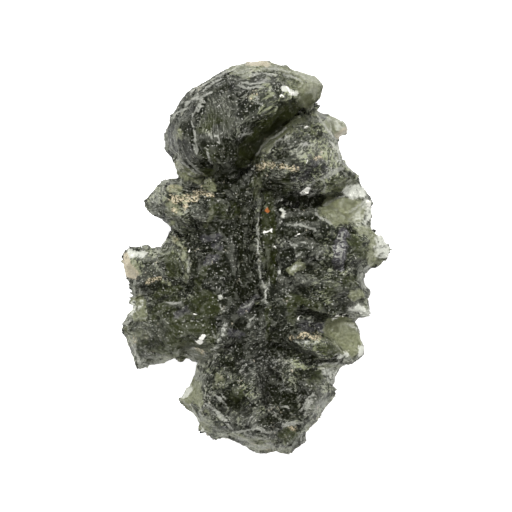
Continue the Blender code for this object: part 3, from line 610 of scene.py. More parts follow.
# %% Marks on the hip
HIP_MARKS = [
    Mark("pale", 1.0, 0.0, 1.35, [(8.4, -7.2), (9.3, -8.4)]),
    Mark("milk", 0.5, 0.05, 0.2, [(8.8, -6.3), (9.8, -6.9), (10.2, -7.2)]),
    Mark("milk", 1.0, 0.0, 0.3, [(10.7, -9.0), (10.6, -9.6)]),
    Mark("grey", 0.6, 0.0, 0.5, [(7.4, -8.0), (8.6, -8.8), (9.3, -9.8)]),
    Mark("dark", 0.5, 0.0, 0.08, [(9.3, -7.8)]),
    Mark("plain", 0.0, -0.10, 0.12, [(9.1, -8.6), (10.4, -8.6)]),
    Mark("white", 0.6, 0.15, 0.13, [(7.5, -5.9), (9.1, -5.6)]),
    Mark("violet", 0.7, 0.0, 0.55, [(4.8, -6.7), (6.6, -6.9)]),
    Mark("tan", 0.8, 0.20, 0.28, [(3.7, -7.8), (4.9, -7.6), (6.3, -7.8)]),
    Mark("milk", 0.55, 0.10, 0.2, [(4.0, -8.2), (5.0, -8.5), (6.4, -8.2)]),
    Mark("grey", 0.9, 0.25, 0.4, [(3.8, -8.5), (5.2, -9.1), (6.0, -9.3)]),
    Mark("olive", 1.0, 0.0, 0.45, [(6.5, -8.8), (7.4, -9.2), (8.2, -9.3)]),
    Mark("milk", 0.8, 0.10, 0.22, [(8.1, -9.7), (9.2, -9.8)]),
    Mark("grey", 1.0, 0.20, 0.35, [(6.5, -10.8), (8.0, -10.7), (9.5, -10.3)]),
    Mark("pale", 0.5, 0.0, 0.3, [(6.5, -10.8), (8.0, -10.7)]),
    Mark("dark", 1.0, -0.45, 0.6, [(1.6, -9.0), (4.0, -9.4), (5.6, -9.9)]),
    Mark("dark", 1.0, -0.30, 0.25, [(5.4, -10.3), (8.2, -10.25)]),
    Mark("milk", 0.5, 0.0, 0.4, [(7.2, -11.3), (8.0, -11.6), (7.8, -12.4)]),
]
print(len(HIP_MARKS), "marks on the hip")

# %% [markdown]
# ## Marks on the foot
#
# The foot is folded like cloth: deep dark troughs with sharp frosted edges, and a pale fin at its lower left.

# %% Marks on the foot
FOOT_MARKS = [
    Mark("grey", 0.9, 0.25, 0.35, [(4.1, -10.8), (4.7, -10.7)]),
    Mark("dark", 0.8, -0.30, 0.5, [(4.2, -11.5), (5.5, -11.5)]),
    Mark("dark", 1.0, -0.30, 0.8, [(1.8, -12.4), (2.3, -13.6), (3.4, -14.2), (3.2, -15.2)]),
    Mark("dark", 1.0, -0.35, 0.5, [(1.0, -16.1), (2.0, -16.4)]),
    Mark("dark", 1.0, -0.50, 0.45, [(-2.9, -14.5), (-1.6, -14.6)]),
    Mark("dark", 1.0, -0.40, 0.4, [(-3.1, -10.4), (-2.3, -10.6)]),
    Mark("dark", 0.9, -0.25, 0.18, [(-2.5, -17.0), (-1.0, -17.1), (0.1, -16.9)]),
    Mark("grey", 0.9, 0.10, 0.25, [(2.6, -13.2), (3.4, -13.2)]),
    Mark("grey", 0.9, 0.25, 0.4, [(-2.7, -11.3)]),
    Mark("white", 0.5, 0.0, 0.2, [(-2.7, -11.2)]),
    Mark("grey", 0.7, 0.30, 0.8, [(0.0, -13.5)]),
    Mark("grey", 0.7, 0.20, 0.6, [(-0.6, -11.8), (0.9, -11.0)]),
    Mark("olive", 0.8, 0.30, 0.75, [(-1.8, -13.5)]),
    Mark("pale", 0.5, 0.25, 0.5, [(-3.8, -12.0), (-3.5, -12.5)]),
    Mark("grey", 0.8, 0.0, 0.7, [(-2.9, -15.7), (-1.2, -15.9), (-0.2, -15.6)]),
    Mark("grey", 0.9, 0.25, 0.2, [(-5.3, -15.0), (-4.0, -15.2), (-3.2, -16.0), (-2.5, -16.9)]),
    Mark("grey", 0.9, 0.30, 0.22, [(0.2, -16.6), (1.0, -17.2), (1.7, -17.0), (3.0, -16.5), (5.0, -16.1)]),
    Mark("grey", 0.9, 0.20, 0.15, [(4.7, -15.3), (5.2, -14.2), (5.9, -13.3)]),
    Mark("grey", 0.9, 0.20, 0.15, [(5.2, -15.5), (5.7, -14.4), (6.3, -13.5)]),
    Mark("grey", 0.6, 0.0, 0.8, [(6.4, -14.8), (6.8, -13.0)]),
    Mark("olive", 0.7, 0.0, 0.6, [(5.6, -12.4), (6.4, -11.8)]),
    Mark("grey", 0.8, 0.0, 0.5, [(-2.2, -17.5), (0.2, -17.7), (1.9, -17.6)]),
    Mark("pale", 0.6, 0.15, 0.2, [(-2.5, -17.3), (-1.0, -17.9), (0.5, -18.3), (2.0, -18.1)]),
    Mark("olive", 1.0, 0.10, 0.8, [(3.3, -17.6), (3.8, -18.2)]),
    Mark("tan", 0.6, 0.05, 0.25, [(3.4, -16.8), (4.1, -17.0)]),
    Mark("grey", 1.0, 0.0, 0.5, [(-0.5, -18.9), (1.4, -19.1), (3.5, -19.2)]),
    Mark("pale", 0.6, 0.0, 0.5, [(-0.5, -19.0), (1.4, -19.2), (3.5, -19.3)]),
    Mark("cream", 0.6, 0.0, 0.25, [(1.2, -19.2), (1.8, -19.2)]),
    Mark("pale", 1.0, 0.0, 0.6, [(-6.7, -13.9), (-6.1, -12.6)]),
    Mark("milk", 0.9, 0.0, 0.4, [(-7.3, -14.0), (-6.6, -13.1)]),
    Mark("pale", 0.7, 0.0, 0.5, [(-5.7, -12.8), (-5.6, -14.2)]),
    Mark("pale", 0.9, 0.15, 0.3, [(-7.5, -14.3), (-6.6, -15.1), (-5.9, -16.1), (-5.4, -16.9)]),
    Mark("milk", 0.9, 0.05, 0.15, [(-5.3, -16.9), (-5.3, -17.3)]),
    Mark("grey", 1.0, 0.0, 0.5, [(-4.8, -15.7), (-4.6, -17.0)]),
    Mark("pale", 0.5, 0.0, 0.5, [(-4.8, -15.7), (-4.6, -17.0)]),
    Mark("dark", 0.8, -0.20, 0.15, [(-5.6, -10.9), (-5.1, -11.4), (-5.5, -11.8)]),
]
print(len(FOOT_MARKS), "marks on the foot")

# %% [markdown]
# ## Broad tones
#
# These marks are wide and have no relief. They make whole lobes darker or lighter than their neighbours,
# and thin or crowd the etch's pale bristles there. The glows along the shoulder's edge under the head are
# painted light, on an edge that the head's dome shades.

# %% Broad tones
TONE_MARKS = [
    Mark("shade", 0.90, 0.0, 2.0, [(-7.8, 13.4), (-7.4, 12.0), (-6.0, 9.6)]),
    Mark("glow", 0.4, 0.0, 1.2, [(-10.4, 5.8), (-9.4, 4.8)]),
    Mark("glow", 0.6, 0.0, 1.2, [(-9.0, -9.6), (-11.2, -9.6)]),
    Mark("shade", 0.50, 0.0, 1.4, [(-11.6, -3.0), (-9.8, -1.6)]),
    Mark("shade", 0.60, 0.0, 1.4, [(-10.8, -5.6), (-10.6, -8.8)]),
    Mark("shade", 0.30, 0.0, 1.4, [(6.4, 2.6), (6.6, -1.0), (8.0, -2.4)]),
    Mark("shade", 0.50, 0.0, 1.4, [(-7.0, 15.4), (-5.2, 16.6), (-3.6, 17.6)]),
    Mark("shade", 0.50, 0.0, 1.6, [(-9.2, -3.6), (-6.4, -4.4)]),
    # Painted light: the shoulder's top edge under the head's right end.
    Mark("glow", 0.7, 0.0, 1.0, [(2.6, 14.4), (4.4, 14.9)]),
    Mark("glow", 0.5, 0.0, 0.9, [(0.3, 9.2), (0.6, 10.6)]),
    Mark("glow", 0.5, 0.0, 0.9, [(7.2, 7.0), (8.6, 7.4)]),
    Mark("glow", 0.4, 0.0, 1.0, [(7.6, -8.6), (8.6, -9.8)]),
    Mark("shade", 0.80, 0.0, 2.0, [(-6.4, 14.4), (-2.6, 15.6), (-2.4, 12.8)]),
    Mark("shade", 0.40, 0.0, 1.6, [(-3.6, 11.0), (-2.8, 9.4)]),
    Mark("shade", 1.0, 0.0, 2.2, [(-3.6, 5.6), (-4.0, 1.2), (-4.2, -1.4), (-3.8, -5.6)]),
    Mark("shade", 1.0, 0.0, 0.8, [(-0.9, 6.8), (-0.8, 2.0), (-0.7, -2.2)]),
    Mark("shade", 1.0, 0.0, 0.8, [(1.3, 6.2), (1.4, 2.0), (1.5, -2.0)]),
    Mark("shade", 0.85, 0.0, 1.8, [(-8.6, -5.0), (-6.2, -6.6), (-7.6, -8.0)]),
    Mark("shade", 1.0, 0.0, 1.8, [(-1.6, 0.4), (-1.0, -6.6), (-1.0, -8.4)]),
    Mark("shade", 0.60, 0.0, 1.2, [(-0.8, 6.6), (-0.8, 2.0), (0.6, -2.0)]),
    Mark("shade", 1.0, 0.0, 1.9, [(3.0, 4.6), (4.4, 3.0), (4.4, 0.6), (3.0, -1.6)]),
    Mark("shade", 0.85, 0.0, 1.8, [(2.2, -4.2), (4.6, -5.4), (3.6, -6.8)]),
    Mark("shade", 0.35, 0.0, 1.6, [(-3.6, -12.6), (-3.0, -15.2)]),
    Mark("dark", 0.35, 0.0, 1.6, [(-3.8, 2.6), (-4.0, -1.6), (-4.6, -4.6), (-6.4, -6.4)]),
    Mark("dark", 0.4, 0.0, 1.4, [(4.2, 3.0), (4.6, 0.6), (3.4, -3.0)]),
    Mark("dark", 0.35, 0.0, 1.4, [(0.6, 2.6), (0.6, -2.0), (1.0, -6.6)]),
    Mark("shade", 0.35, 0.0, 1.2, [(6.0, -13.0), (5.4, -15.0)]),
    # Painted light: the shoulder's edge along the groove, which the head's dome shades.
    Mark("glow", 1.0, 0.0, 1.2, [(0.8, 10.2), (2.4, 12.0), (4.6, 13.3)]),
    Mark("glow", 0.6, 0.0, 1.4, [(4.8, 10.8), (7.8, 10.6), (8.8, 9.6)]),
    Mark("glow", 0.5, 0.0, 1.0, [(6.6, 13.6), (8.0, 11.8)]),
    Mark("glow", 0.5, 0.0, 1.2, [(2.8, 18.4), (5.4, 17.2), (5.4, 16.0)]),
    Mark("shade", 0.5, 0.0, 1.2, [(10.6, -0.8), (11.2, -2.6)]),
    Mark("glow", 1.0, 0.0, 1.0, [(9.8, -5.0), (11.4, -5.4)]),
    Mark("glow", 0.5, 0.0, 0.9, [(7.0, 4.4), (9.0, 4.2)]),
    Mark("glow", 1.0, 0.0, 0.9, [(-8.2, -9.6), (-5.2, -9.6)]),
    Mark("pale", 0.75, 0.0, 0.5, [(-9.4, -10.2), (-7.4, -9.8), (-5.4, -9.6)]),
    Mark("glow", 0.6, 0.0, 0.9, [(-11.4, -7.4), (-11.6, -9.8)]),
    Mark("glow", 0.5, 0.0, 0.9, [(-4.6, -16.4), (-2.6, -17.6), (0.6, -18.6), (3.4, -18.8)]),
    Mark("glow", 0.5, 0.0, 1.2, [(6.4, -12.0), (6.6, -14.6)]),
    Mark("glow", 0.5, 0.0, 0.7, [(6.6, -10.8), (9.4, -10.4)]),
]
MARKS = (HEAD_MARKS + SHOULDER_MARKS + TONGUE_MARKS + WING_MARKS + MIDDLE_MARKS + LEFT_MARKS + HIP_MARKS
         + FOOT_MARKS + TONE_MARKS)
print(len(TONE_MARKS), "broad tones,", len(MARKS), "marks in all")

# %% [markdown]
# ## Ledges
#
# Where two lobes meet, or a flake has come off, the surface steps up sharply on one side and sinks back
# slowly. A ridge mark would rise on both sides, so such edges are ledges.

# %% Ledges
LEDGES = [
    Ledge(0.35, 0.8, [(-7.4, 15.3), (-6.0, 15.8), (-5.0, 15.8), (-4.2, 16.3)]),  # on the head's crown
    Ledge(0.35, 0.8, [(-5.2, 16.4), (-4.6, 17.0), (-3.8, 17.5), (-2.6, 17.9)]),
    Ledge(0.30, 0.7, [(-1.4, 17.9), (0.0, 18.1), (1.5, 18.2), (3.2, 18.1), (4.2, 17.7)]),
    Ledge(0.35, 0.8, [(-2.4, 17.3), (-1.2, 16.9), (-0.5, 16.6), (0.6, 16.8), (1.8, 17.1)]),
    Ledge(0.25, 0.6, [(-8.9, 12.6), (-8.3, 14.0), (-7.2, 15.3)]),
    Ledge(0.55, 1.2, [(4.9, 14.2), (3.5, 13.2), (2.2, 12.4), (0.9, 11.3), (0.1, 9.9),
                      (-0.3, 9.1)]),  # along the shoulder
    Ledge(0.30, 0.9, [(1.2, 9.3), (3.0, 9.3), (5.0, 9.6), (7.2, 9.6)]),
    Ledge(0.35, 0.7, [(9.1, 6.0), (7.7, 5.8), (6.8, 5.4), (6.1, 4.8), (6.3, 4.2), (7.3, 3.5), (8.3, 3.1),
                      (10.6, 3.0)]),  # round the clear tongue
    Ledge(0.40, 1.4, [(8.7, -0.9), (9.0, 1.0), (9.3, 2.6)]),  # the wing's smooth slanted face
    Ledge(0.35, 0.6, [(2.0, 4.5), (2.1, 1.0), (2.2, -2.0)]),  # the double furrow's outer walls
    Ledge(0.35, 0.6, [(-1.7, -2.0), (-1.8, 1.5), (-1.7, 5.5)]),
    Ledge(0.55, 0.8, [(-6.5, -3.4), (-6.7, -2.3), (-6.5, -1.0), (-6.6, 0.2), (-7.2, 1.3), (-7.9, 2.0)]),
    Ledge(0.30, 0.5, [(-1.0, -18.6), (1.0, -18.65), (3.0, -18.8), (3.9, -19.0)]),  # the foot's brim
]
print(len(LEDGES), "ledges")

# %% [markdown]
# ## Thin pale lines
#
# Each line is partly a hairline of bright frost, where two etched planes meet, and partly a painted
# highlight, where a worn edge catches the light. It has no height worth modelling, so a line is only a path,
# and the material draws it.

# %% Thin pale lines
LINE_HALF_WIDTH = 0.07  # mm
LINES = [
    [(-7.2, 15.4), (-6.4, 15.5), (-5.7, 15.8), (-5.0, 15.9), (-4.2, 16.3)],  # on the head's crown
    [(-6.9, 15.2), (-6.0, 15.6), (-5.3, 15.7)],
    [(-5.0, 16.5), (-4.5, 17.0), (-3.9, 17.5), (-3.3, 17.7)],
    [(-6.4, 16.5), (-5.4, 16.9), (-4.8, 17.3)],
    [(-3.9, 17.9), (-2.9, 18.3), (-2.0, 18.8)],
    [(-1.3, 17.9), (-0.3, 18.05), (0.9, 18.2), (2.2, 18.05)],
    [(-1.7, 17.0), (-0.8, 16.65), (-0.2, 16.6), (0.8, 16.85)],
    [(-1.2, 17.2), (-0.2, 17.1), (0.9, 17.3)],
    [(2.8, 18.1), (3.6, 18.05), (4.3, 17.6), (4.7, 17.2)],
    [(0.2, 18.5), (1.2, 18.8), (2.4, 18.7), (3.4, 18.4)],
    [(-5.3, 15.5), (-5.6, 14.8), (-6.1, 13.9)],
    [(-5.0, 15.3), (-5.6, 14.3)],
    [(-6.4, 13.4), (-5.9, 12.6), (-5.9, 11.6), (-5.5, 10.6)],
    [(-6.1, 11.2), (-5.6, 10.3)],
    [(-9.0, 12.5), (-8.6, 13.3), (-8.0, 14.1)],
    [(-8.3, 14.3), (-7.6, 14.4), (-6.6, 14.9)],
    [(-4.8, 10.8), (-4.6, 10.0), (-4.3, 9.2)],
    [(-7.5, 9.8), (-6.5, 8.9), (-5.6, 8.3), (-4.8, 7.4)],
    [(-6.9, 9.9), (-6.0, 9.0), (-5.2, 8.3)],
    [(-7.8, 8.9), (-6.8, 8.4), (-5.6, 7.7)],
    [(-1.3, 12.0), (-0.3, 12.3)],
    [(-0.1, 15.5), (0.4, 15.1), (0.6, 14.6)],
    [(0.1, 15.9), (0.8, 15.0)],
    [(-3.9, 12.1), (-3.6, 11.7), (-3.4, 11.3)],
    [(-4.4, 12.1), (-4.2, 11.6)],
    [(6.4, 13.8), (7.0, 12.9), (7.7, 12.1)],  # down the shoulder's rim
    [(6.1, 14.3), (6.6, 13.3), (7.4, 12.3)],
    [(7.7, 12.2), (8.3, 11.0), (8.9, 9.8), (9.5, 9.0)],
    [(7.4, 11.6), (8.2, 10.5), (8.6, 9.4)],
    [(7.9, 9.8), (8.9, 9.3), (9.9, 8.4)],
    [(7.0, 8.1), (7.6, 8.6), (8.5, 8.8)],
    [(7.2, 7.9), (7.9, 8.4), (8.8, 8.8)],
    [(6.7, 7.9), (6.9, 7.2), (6.8, 6.4)],
    [(5.2, 6.9), (5.9, 7.5), (6.6, 7.9)],
    [(5.3, 6.1), (5.9, 6.4)],
    [(0.2, 10.3), (0.7, 11.1), (1.4, 11.8), (2.2, 12.2), (3.0, 12.9)],
    [(-0.2, 9.0), (-0.8, 8.6), (-1.2, 8.0)],
    [(6.0, 4.9), (6.1, 4.3), (6.6, 3.9), (7.6, 3.4)],  # round the clear tongue
    [(6.9, 5.2), (8.0, 5.9), (9.2, 6.3)],
    [(9.4, 4.6), (10.4, 5.3), (11.2, 5.9)],
    [(11.0, 7.0), (11.7, 6.0), (11.5, 5.2)],
    [(5.4, -0.3), (6.0, 0.1), (6.5, 0.7)],  # across the wing
    [(6.1, -0.2), (6.8, 0.0)],
    [(4.1, 0.2), (4.5, 0.6)],
    [(3.0, 1.6), (4.0, 1.3), (5.0, 1.6)],
    [(3.0, -3.1), (3.2, -3.6), (3.5, -4.0)],
    [(8.1, 2.2), (8.2, 1.0), (7.9, 0.0)],
    [(8.6, 2.6), (8.6, 1.2), (8.4, -0.4)],
    [(3.1, 3.2), (4.6, 3.2), (6.0, 2.8)],
    [(10.5, -1.4), (10.8, -2.6), (11.2, -3.4)],
    [(9.4, -5.0), (10.3, -5.2), (11.2, -5.7)],
    [(0.2, 3.9), (0.25, 2.6), (0.3, 1.0), (0.35, -0.6), (0.5, -1.9), (0.9, -2.9)],  # the furrow's ridge
    [(1.0, -4.4), (1.1, -3.5)],
    [(-0.7, -6.7), (-0.5, -6.2), (0.1, -5.6)],
    [(-1.2, -5.0), (-0.6, -4.6), (0.0, -4.1)],
    [(-3.4, -4.7), (-3.1, -5.3)],
    [(-4.3, -7.2), (-3.9, -7.9)],
    [(-8.9, -4.4), (-8.2, -4.5), (-7.3, -4.4)],  # left lobes
    [(-9.4, 1.0), (-9.0, 1.5), (-8.9, 2.0)],
    [(-6.6, 0.2), (-6.5, -1.0), (-6.7, -2.4)],
    [(-13.1, -6.6), (-12.2, -6.1), (-10.8, -5.9)],
    [(-12.6, -8.2), (-11.9, -9.3), (-11.4, -10.6)],
    [(-12.0, -9.4), (-11.6, -10.7)],
    [(-6.9, -9.7), (-5.9, -9.5), (-4.9, -9.9)],
    [(-6.2, -9.0), (-5.3, -9.2), (-4.7, -9.7)],
    [(-4.2, -14.9), (-3.4, -15.5), (-2.8, -16.1), (-2.3, -16.9)],  # folds of the foot
    [(-3.9, -15.2), (-3.1, -16.1), (-2.5, -16.8)],
    [(-3.9, -13.6), (-3.1, -14.3), (-2.7, -14.9)],
    [(-3.4, -13.4), (-2.9, -14.0)],
    [(-4.9, -14.4), (-4.2, -14.9)],
    [(-2.4, -17.3), (-1.0, -17.1), (0.1, -16.8), (0.7, -16.8), (1.1, -17.3)],
    [(0.2, -16.7), (1.0, -17.2), (1.9, -17.2), (2.6, -16.8), (3.4, -16.5), (4.8, -16.3)],
    [(2.1, -16.9), (2.8, -16.4), (4.0, -16.2)],
    [(4.6, -15.3), (4.8, -14.5), (5.3, -13.8), (5.8, -13.4)],
    [(5.0, -15.6), (5.2, -14.8), (5.9, -13.9)],
    [(4.9, -14.9), (5.6, -14.0)],
    [(6.3, -10.6), (7.4, -10.5), (8.8, -10.6)],
    [(6.4, -11.0), (8.4, -11.0)],
    [(6.6, -11.4), (7.6, -11.6), (8.0, -12.2)],
    [(7.2, -12.0), (7.9, -12.9)],
    [(-7.6, -14.2), (-6.9, -14.6), (-6.2, -15.3), (-5.6, -16.2)],
    [(-2.4, -17.5), (-1.2, -17.9), (-0.2, -18.4)],
    [(-1.0, -17.4), (0.4, -17.9), (1.8, -18.0)],
    [(-0.9, -18.6), (0.8, -18.8), (3.0, -19.0)],
    [(2.6, -13.2), (3.2, -13.0), (3.6, -13.3)],
    [(2.7, -14.8), (3.2, -14.7), (3.4, -15.0)],
]
print(len(LINES), "pale lines")

# %% [markdown]
# ## Small corrections to the outline
#
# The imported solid's rims are rounder than the stone's, whose edge is nicked and bulges a little from place
# to place. Each correction has a half width, a push in plan and a path, all in millimetres.

# %% Corrections to the outline
PUSHES = [
    (1.0, (0.10, -0.12), [(-5.6, 17.6), (-3.8, 18.6)]),
    (0.9, (0.28, -0.25), [(-7.0, 16.8)]),
    (0.6, (0.05, -0.32), [(1.1, 20.2)]),
    (0.5, (0.0, -0.15), [(-1.3, 19.8)]),
    (0.6, (0.15, -0.05), [(-8.9, 13.2)]),
    (0.6, (-0.20, 0.0), [(-9.1, 12.2)]),
    (0.6, (0.35, 0.0), [(-9.0, 11.5)]),
    (0.6, (0.20, 0.0), [(-8.8, 10.8)]),
    (0.8, (0.20, 0.0), [(-8.3, 10.0)]),
    (0.8, (-0.15, -0.45), [(5.2, 19.1)]),
    (0.7, (0.15, 0.0), [(6.9, 16.9)]),
    (0.7, (-0.80, -0.30), [(6.7, 15.3)]),
    (0.7, (-0.40, -0.10), [(7.3, 14.5)]),
    (0.7, (0.0, 0.05), [(8.3, 14.1)]),
    (0.8, (0.12, 0.0), [(9.2, 13.2)]),
    (0.8, (-0.55, 0.0), [(8.8, 11.7)]),
    (0.9, (-0.70, 0.0), [(9.4, 9.8)]),
    (0.6, (-0.30, 0.0), [(10.6, 8.3)]),
    (0.8, (-0.25, -0.15), [(11.0, 7.3)]),
    (0.7, (0.45, -0.10), [(11.6, 5.9)]),
    (0.7, (-0.65, -0.50), [(12.2, 3.0)]),
    (0.6, (-0.20, 0.0), [(13.6, 1.7)]),
    (0.8, (0.16, 0.0), [(13.4, 0.5), (12.6, -0.4)]),
    (1.2, (-0.85, 0.0), [(11.7, -1.8)]),
    (0.7, (-0.55, 0.0), [(11.8, -3.9)]),
    (0.6, (-0.20, 0.0), [(11.9, -4.9)]),
    (0.6, (0.10, -0.10), [(11.5, -5.7)]),
    (0.6, (0.0, 0.30), [(9.9, -6.0)]),
    (0.7, (0.35, 0.0), [(10.1, -6.8)]),
    (0.7, (-0.20, 0.0), [(10.9, -8.4)]),
    (0.7, (0.10, -0.25), [(9.2, -10.6)]),
    (0.5, (0.25, -0.10), [(7.7, -13.2)]),
    (0.7, (-0.25, 0.05), [(8.3, -11.6)]),
    (0.9, (-0.22, 0.05), [(4.8, -18.3)]),
    (0.8, (-0.28, 0.10), [(5.8, -17.1)]),
    (0.7, (0.20, 0.10), [(-5.6, -16.1)]),
    (0.9, (0.0, 0.20), [(0.8, -19.5), (2.0, -19.6)]),
    (0.8, (-0.30, 0.10), [(6.9, -15.6)]),
    (0.8, (-0.10, -0.30), [(-0.6, -19.1)]),
    (0.6, (0.0, -0.35), [(-3.8, -17.7)]),
    (0.6, (-0.35, -0.50), [(-5.3, -17.1)]),
    (0.5, (-0.25, -0.05), [(-7.3, -14.1)]),
    (1.6, (0.05, -0.42), [(-6.6, -13.3)]),
    (0.8, (0.40, 0.0), [(-6.0, -11.0)]),
    (0.7, (0.40, -0.10), [(-6.8, -11.9)]),
    (0.8, (0.0, -0.10), [(-7.0, -9.6)]),
    (0.7, (0.0, 0.10), [(-9.0, -10.3)]),
    (0.7, (0.45, 0.0), [(-12.5, -8.8)]),
    (0.7, (-0.08, -0.10), [(-11.6, -10.7)]),
    (0.9, (0.50, 0.0), [(-12.9, -5.2)]),
    (0.6, (-0.30, 0.0), [(-12.0, -3.0)]),
    (0.7, (0.0, -0.40), [(-11.6, 1.0), (-9.6, 0.9)]),
    (0.5, (-0.10, 0.30), [(-8.8, 1.8)]),
    (0.5, (0.25, 0.0), [(-7.9, 2.3)]),
    (0.8, (-0.22, 0.0), [(-10.8, 5.4)]),
    (0.7, (0.10, -0.15), [(-8.6, 7.8)]),
    (0.8, (0.10, -0.42), [(-6.8, 7.4)]),
    (0.6, (0.20, -0.25), [(-9.8, 6.9)]),
]
print("pushes reach", round(max(math.hypot(*push) for _, push, _ in PUSHES), 2), "mm")

# %% [markdown]
# ## Smooth places
#
# Some of the skin was never etched, or has been worn smooth again: the clear tongue, the hip's knob, the
# groove under the head. The etch and the facets fade out there. Each place has a half width and a path.

# %% Smooth places
SMOOTH_PLACES = [
    (1.4, [(8.0, 13.0), (8.9, 13.0)]),
    (1.4, [(7.2, 4.7), (10.6, 4.9)]),
    (1.5, [(8.4, -7.2), (9.4, -8.4)]),
    (1.0, [(3.0, 13.7), (1.0, 12.2), (-0.6, 10.6)]),
    (0.8, [(8.7, 2.3), (8.3, -0.5)]),
    (0.7, [(5.4, 17.0), (5.3, 15.9)]),
    (0.6, [(-1.2, 17.4), (1.6, 17.5)]),
]
print(len(SMOOTH_PLACES), "smooth places")

# %% [markdown]
# ## How far a point is from a mark
#
# A mark could be drawn as a curve and projected, but all that matters is how far each point is from its
# path. That is worked out in plan, for the points near the path alone, and a smooth step turns the distance
# into a soft edge. The plan positions are pushed about a little first, which makes the edge ragged.

# %% Distances to a path
COARSE_WOBBLE, COARSE_PUSH = 0.9, 0.34  # mm: how long the wobbles are, and how far they push
FINE_WOBBLE, FINE_PUSH = 0.28, 0.16


def smooth_step(values):
    """0 below 0, 1 above 1, and a soft curve between."""
    values = np.clip(values, 0, 1)
    return values * values * (3 - 2 * values)


def wobble_plan(points):
    """Plan positions, pushed about a little, so that the marks' edges are ragged."""
    coarse = np.array([noise.noise_vector(Vector(p) / COARSE_WOBBLE)[:2] for p in points])
    fine = np.array([noise.noise_vector(Vector(p) / FINE_WOBBLE)[:2] for p in points])
    return points[:, :2] + COARSE_PUSH * coarse + FINE_PUSH * fine


def path_gap(plan, path):
    """Each point's distance to a path, and on which side of it the point is (1 is left)."""
    gap, side = np.full(len(plan), np.inf), np.ones(len(plan))
    for start, end in list(zip(path, path[1:])) or [(path[0], path[0])]:
        start, run = np.array(start), np.subtract(end, start)
        offset = plan - start
        share = np.clip(offset @ run / max(run @ run, 1e-9), 0, 1)
        distance = np.linalg.norm(offset - share[:, None] * run, axis=1)
        closer = distance < gap
        gap[closer] = distance[closer]
        side[closer] = np.sign(run[0] * offset[:, 1] - run[1] * offset[:, 0])[closer]
    return gap, side


def near_path(plan, path, reach):
    """The numbers of the points in the path's box, widened by reach: only these need any work."""
    low, high = np.min(path, axis=0) - reach, np.max(path, axis=0) + reach
    return np.nonzero(((plan > low) & (plan < high)).all(1))[0]


spine_gap, _ = path_gap(stone_points[:, :2], SPINE)
print("the furthest point is", spine_gap.max().round(1), "mm from the furrow")

# %% [markdown]
# ## Drawing the relief
#
# Marks and ledges move the points straight up or down. On a flank that would tear the marks into streaks, so
# the move fades out where the surface is steep, and the underside stays as it is.

# %% Draw the marks and ledges
LEDGE_RISE = 0.3  # mm: how wide a ledge's step is


def draw_relief(mesh):
    """Lifts and sinks the top of the stone as the marks and ledges say."""
    points, normals = read_points(mesh)
    plan = wobble_plan(points)
    rise = np.zeros(len(points))
    for mark in MARKS:
        if mark.lift:
            some = near_path(plan, mark.path, mark.half_width * 1.6)
            gap, _ = path_gap(plan[some], mark.path)
            rise[some] += mark.lift * smooth_step(1.25 - gap / mark.half_width)
    for ledge in LEDGES:
        some = near_path(plan, ledge.path, ledge.reach * 3)
        gap, side = path_gap(plan[some], ledge.path)
        step_up = smooth_step(0.5 + side * gap / LEDGE_RISE)
        rise[some] += ledge.step * step_up * np.exp(-gap / ledge.reach)
    points[:, 2] += rise * np.clip(normals[:, 2] * 2.5, 0, 1)
    write_points(mesh, points)
    print("marks moved points by", rise.min().round(2), "to", rise.max().round(2), "mm")


# %% [markdown]
# ## Where the etch bites
#
# The acid spared the smooth places, and the flats that the stone rests on are worn. So the facets, cups and
# grooves are all scaled by one share, which is 1 on most of the skin.

# %% The etch's share
FEET_TOP = 1.2  # mm: below this the etch fades, so that the stone still rests on its worn flats


def etch_share(points, normals):
    """1 where the etch is full, 0 on smooth places, and low near the worn flats it rests on."""
    share = np.ones(len(points))
    for half_width, path in SMOOTH_PLACES:
        some = near_path(points[:, :2], path, half_width * 1.5)
        gap, _ = path_gap(points[some, :2], path)
        share[some] = np.minimum(share[some], smooth_step(gap / half_width * 1.6 - 1.1))
    share = np.where(normals[:, 2] > 0, share, 1.0)
    return share * np.clip(points[:, 2] / FEET_TOP, 0, 1)


print("the etch's mean share is", etch_share(*read_points(stone.data)).mean().round(2))

# %% [markdown]
# ## Facets
#
# Etched glass breaks the light in small planes that meet in sharp lines. They could be cut one by one with
# bisect, but there are hundreds. So the surface is shared out among random centres, as cracked mud is, and
# each share is pressed towards its own flat plane. The two sides of a thin rim are kept apart by their
# normals.

# %% Helpers for the facets
dice = np.random.default_rng(11)


def share_out(points, normals, width, turn):
    """The number of the nearest of many random centres, for each point, and how many centres there are.

    width is about how wide a share is, in millimetres, and turn is how much a change of slope counts.
    """
    where = np.column_stack([points / width, normals[:, 2] * turn])
    where[:, :3] += 0.35 * np.array([noise.noise_vector(Vector(p) / (width * 1.2)) for p in points])
    where = np.column_stack([where[:, :2], where[:, 2] * 0.6 + where[:, 3]])
    count = int(len(points) * (GRAIN / MM / width) ** 2)
    in_order = np.lexsort(points.T.round(3))  # the same on each run, whatever order Remesh left
    centres = where[in_order[dice.choice(len(points), count, replace=False)]]
    tree = KDTree(len(centres))
    for index, centre in enumerate(centres):
        tree.insert(centre, index)
    tree.balance()
    return np.array([tree.find(w)[1] for w in where]), count


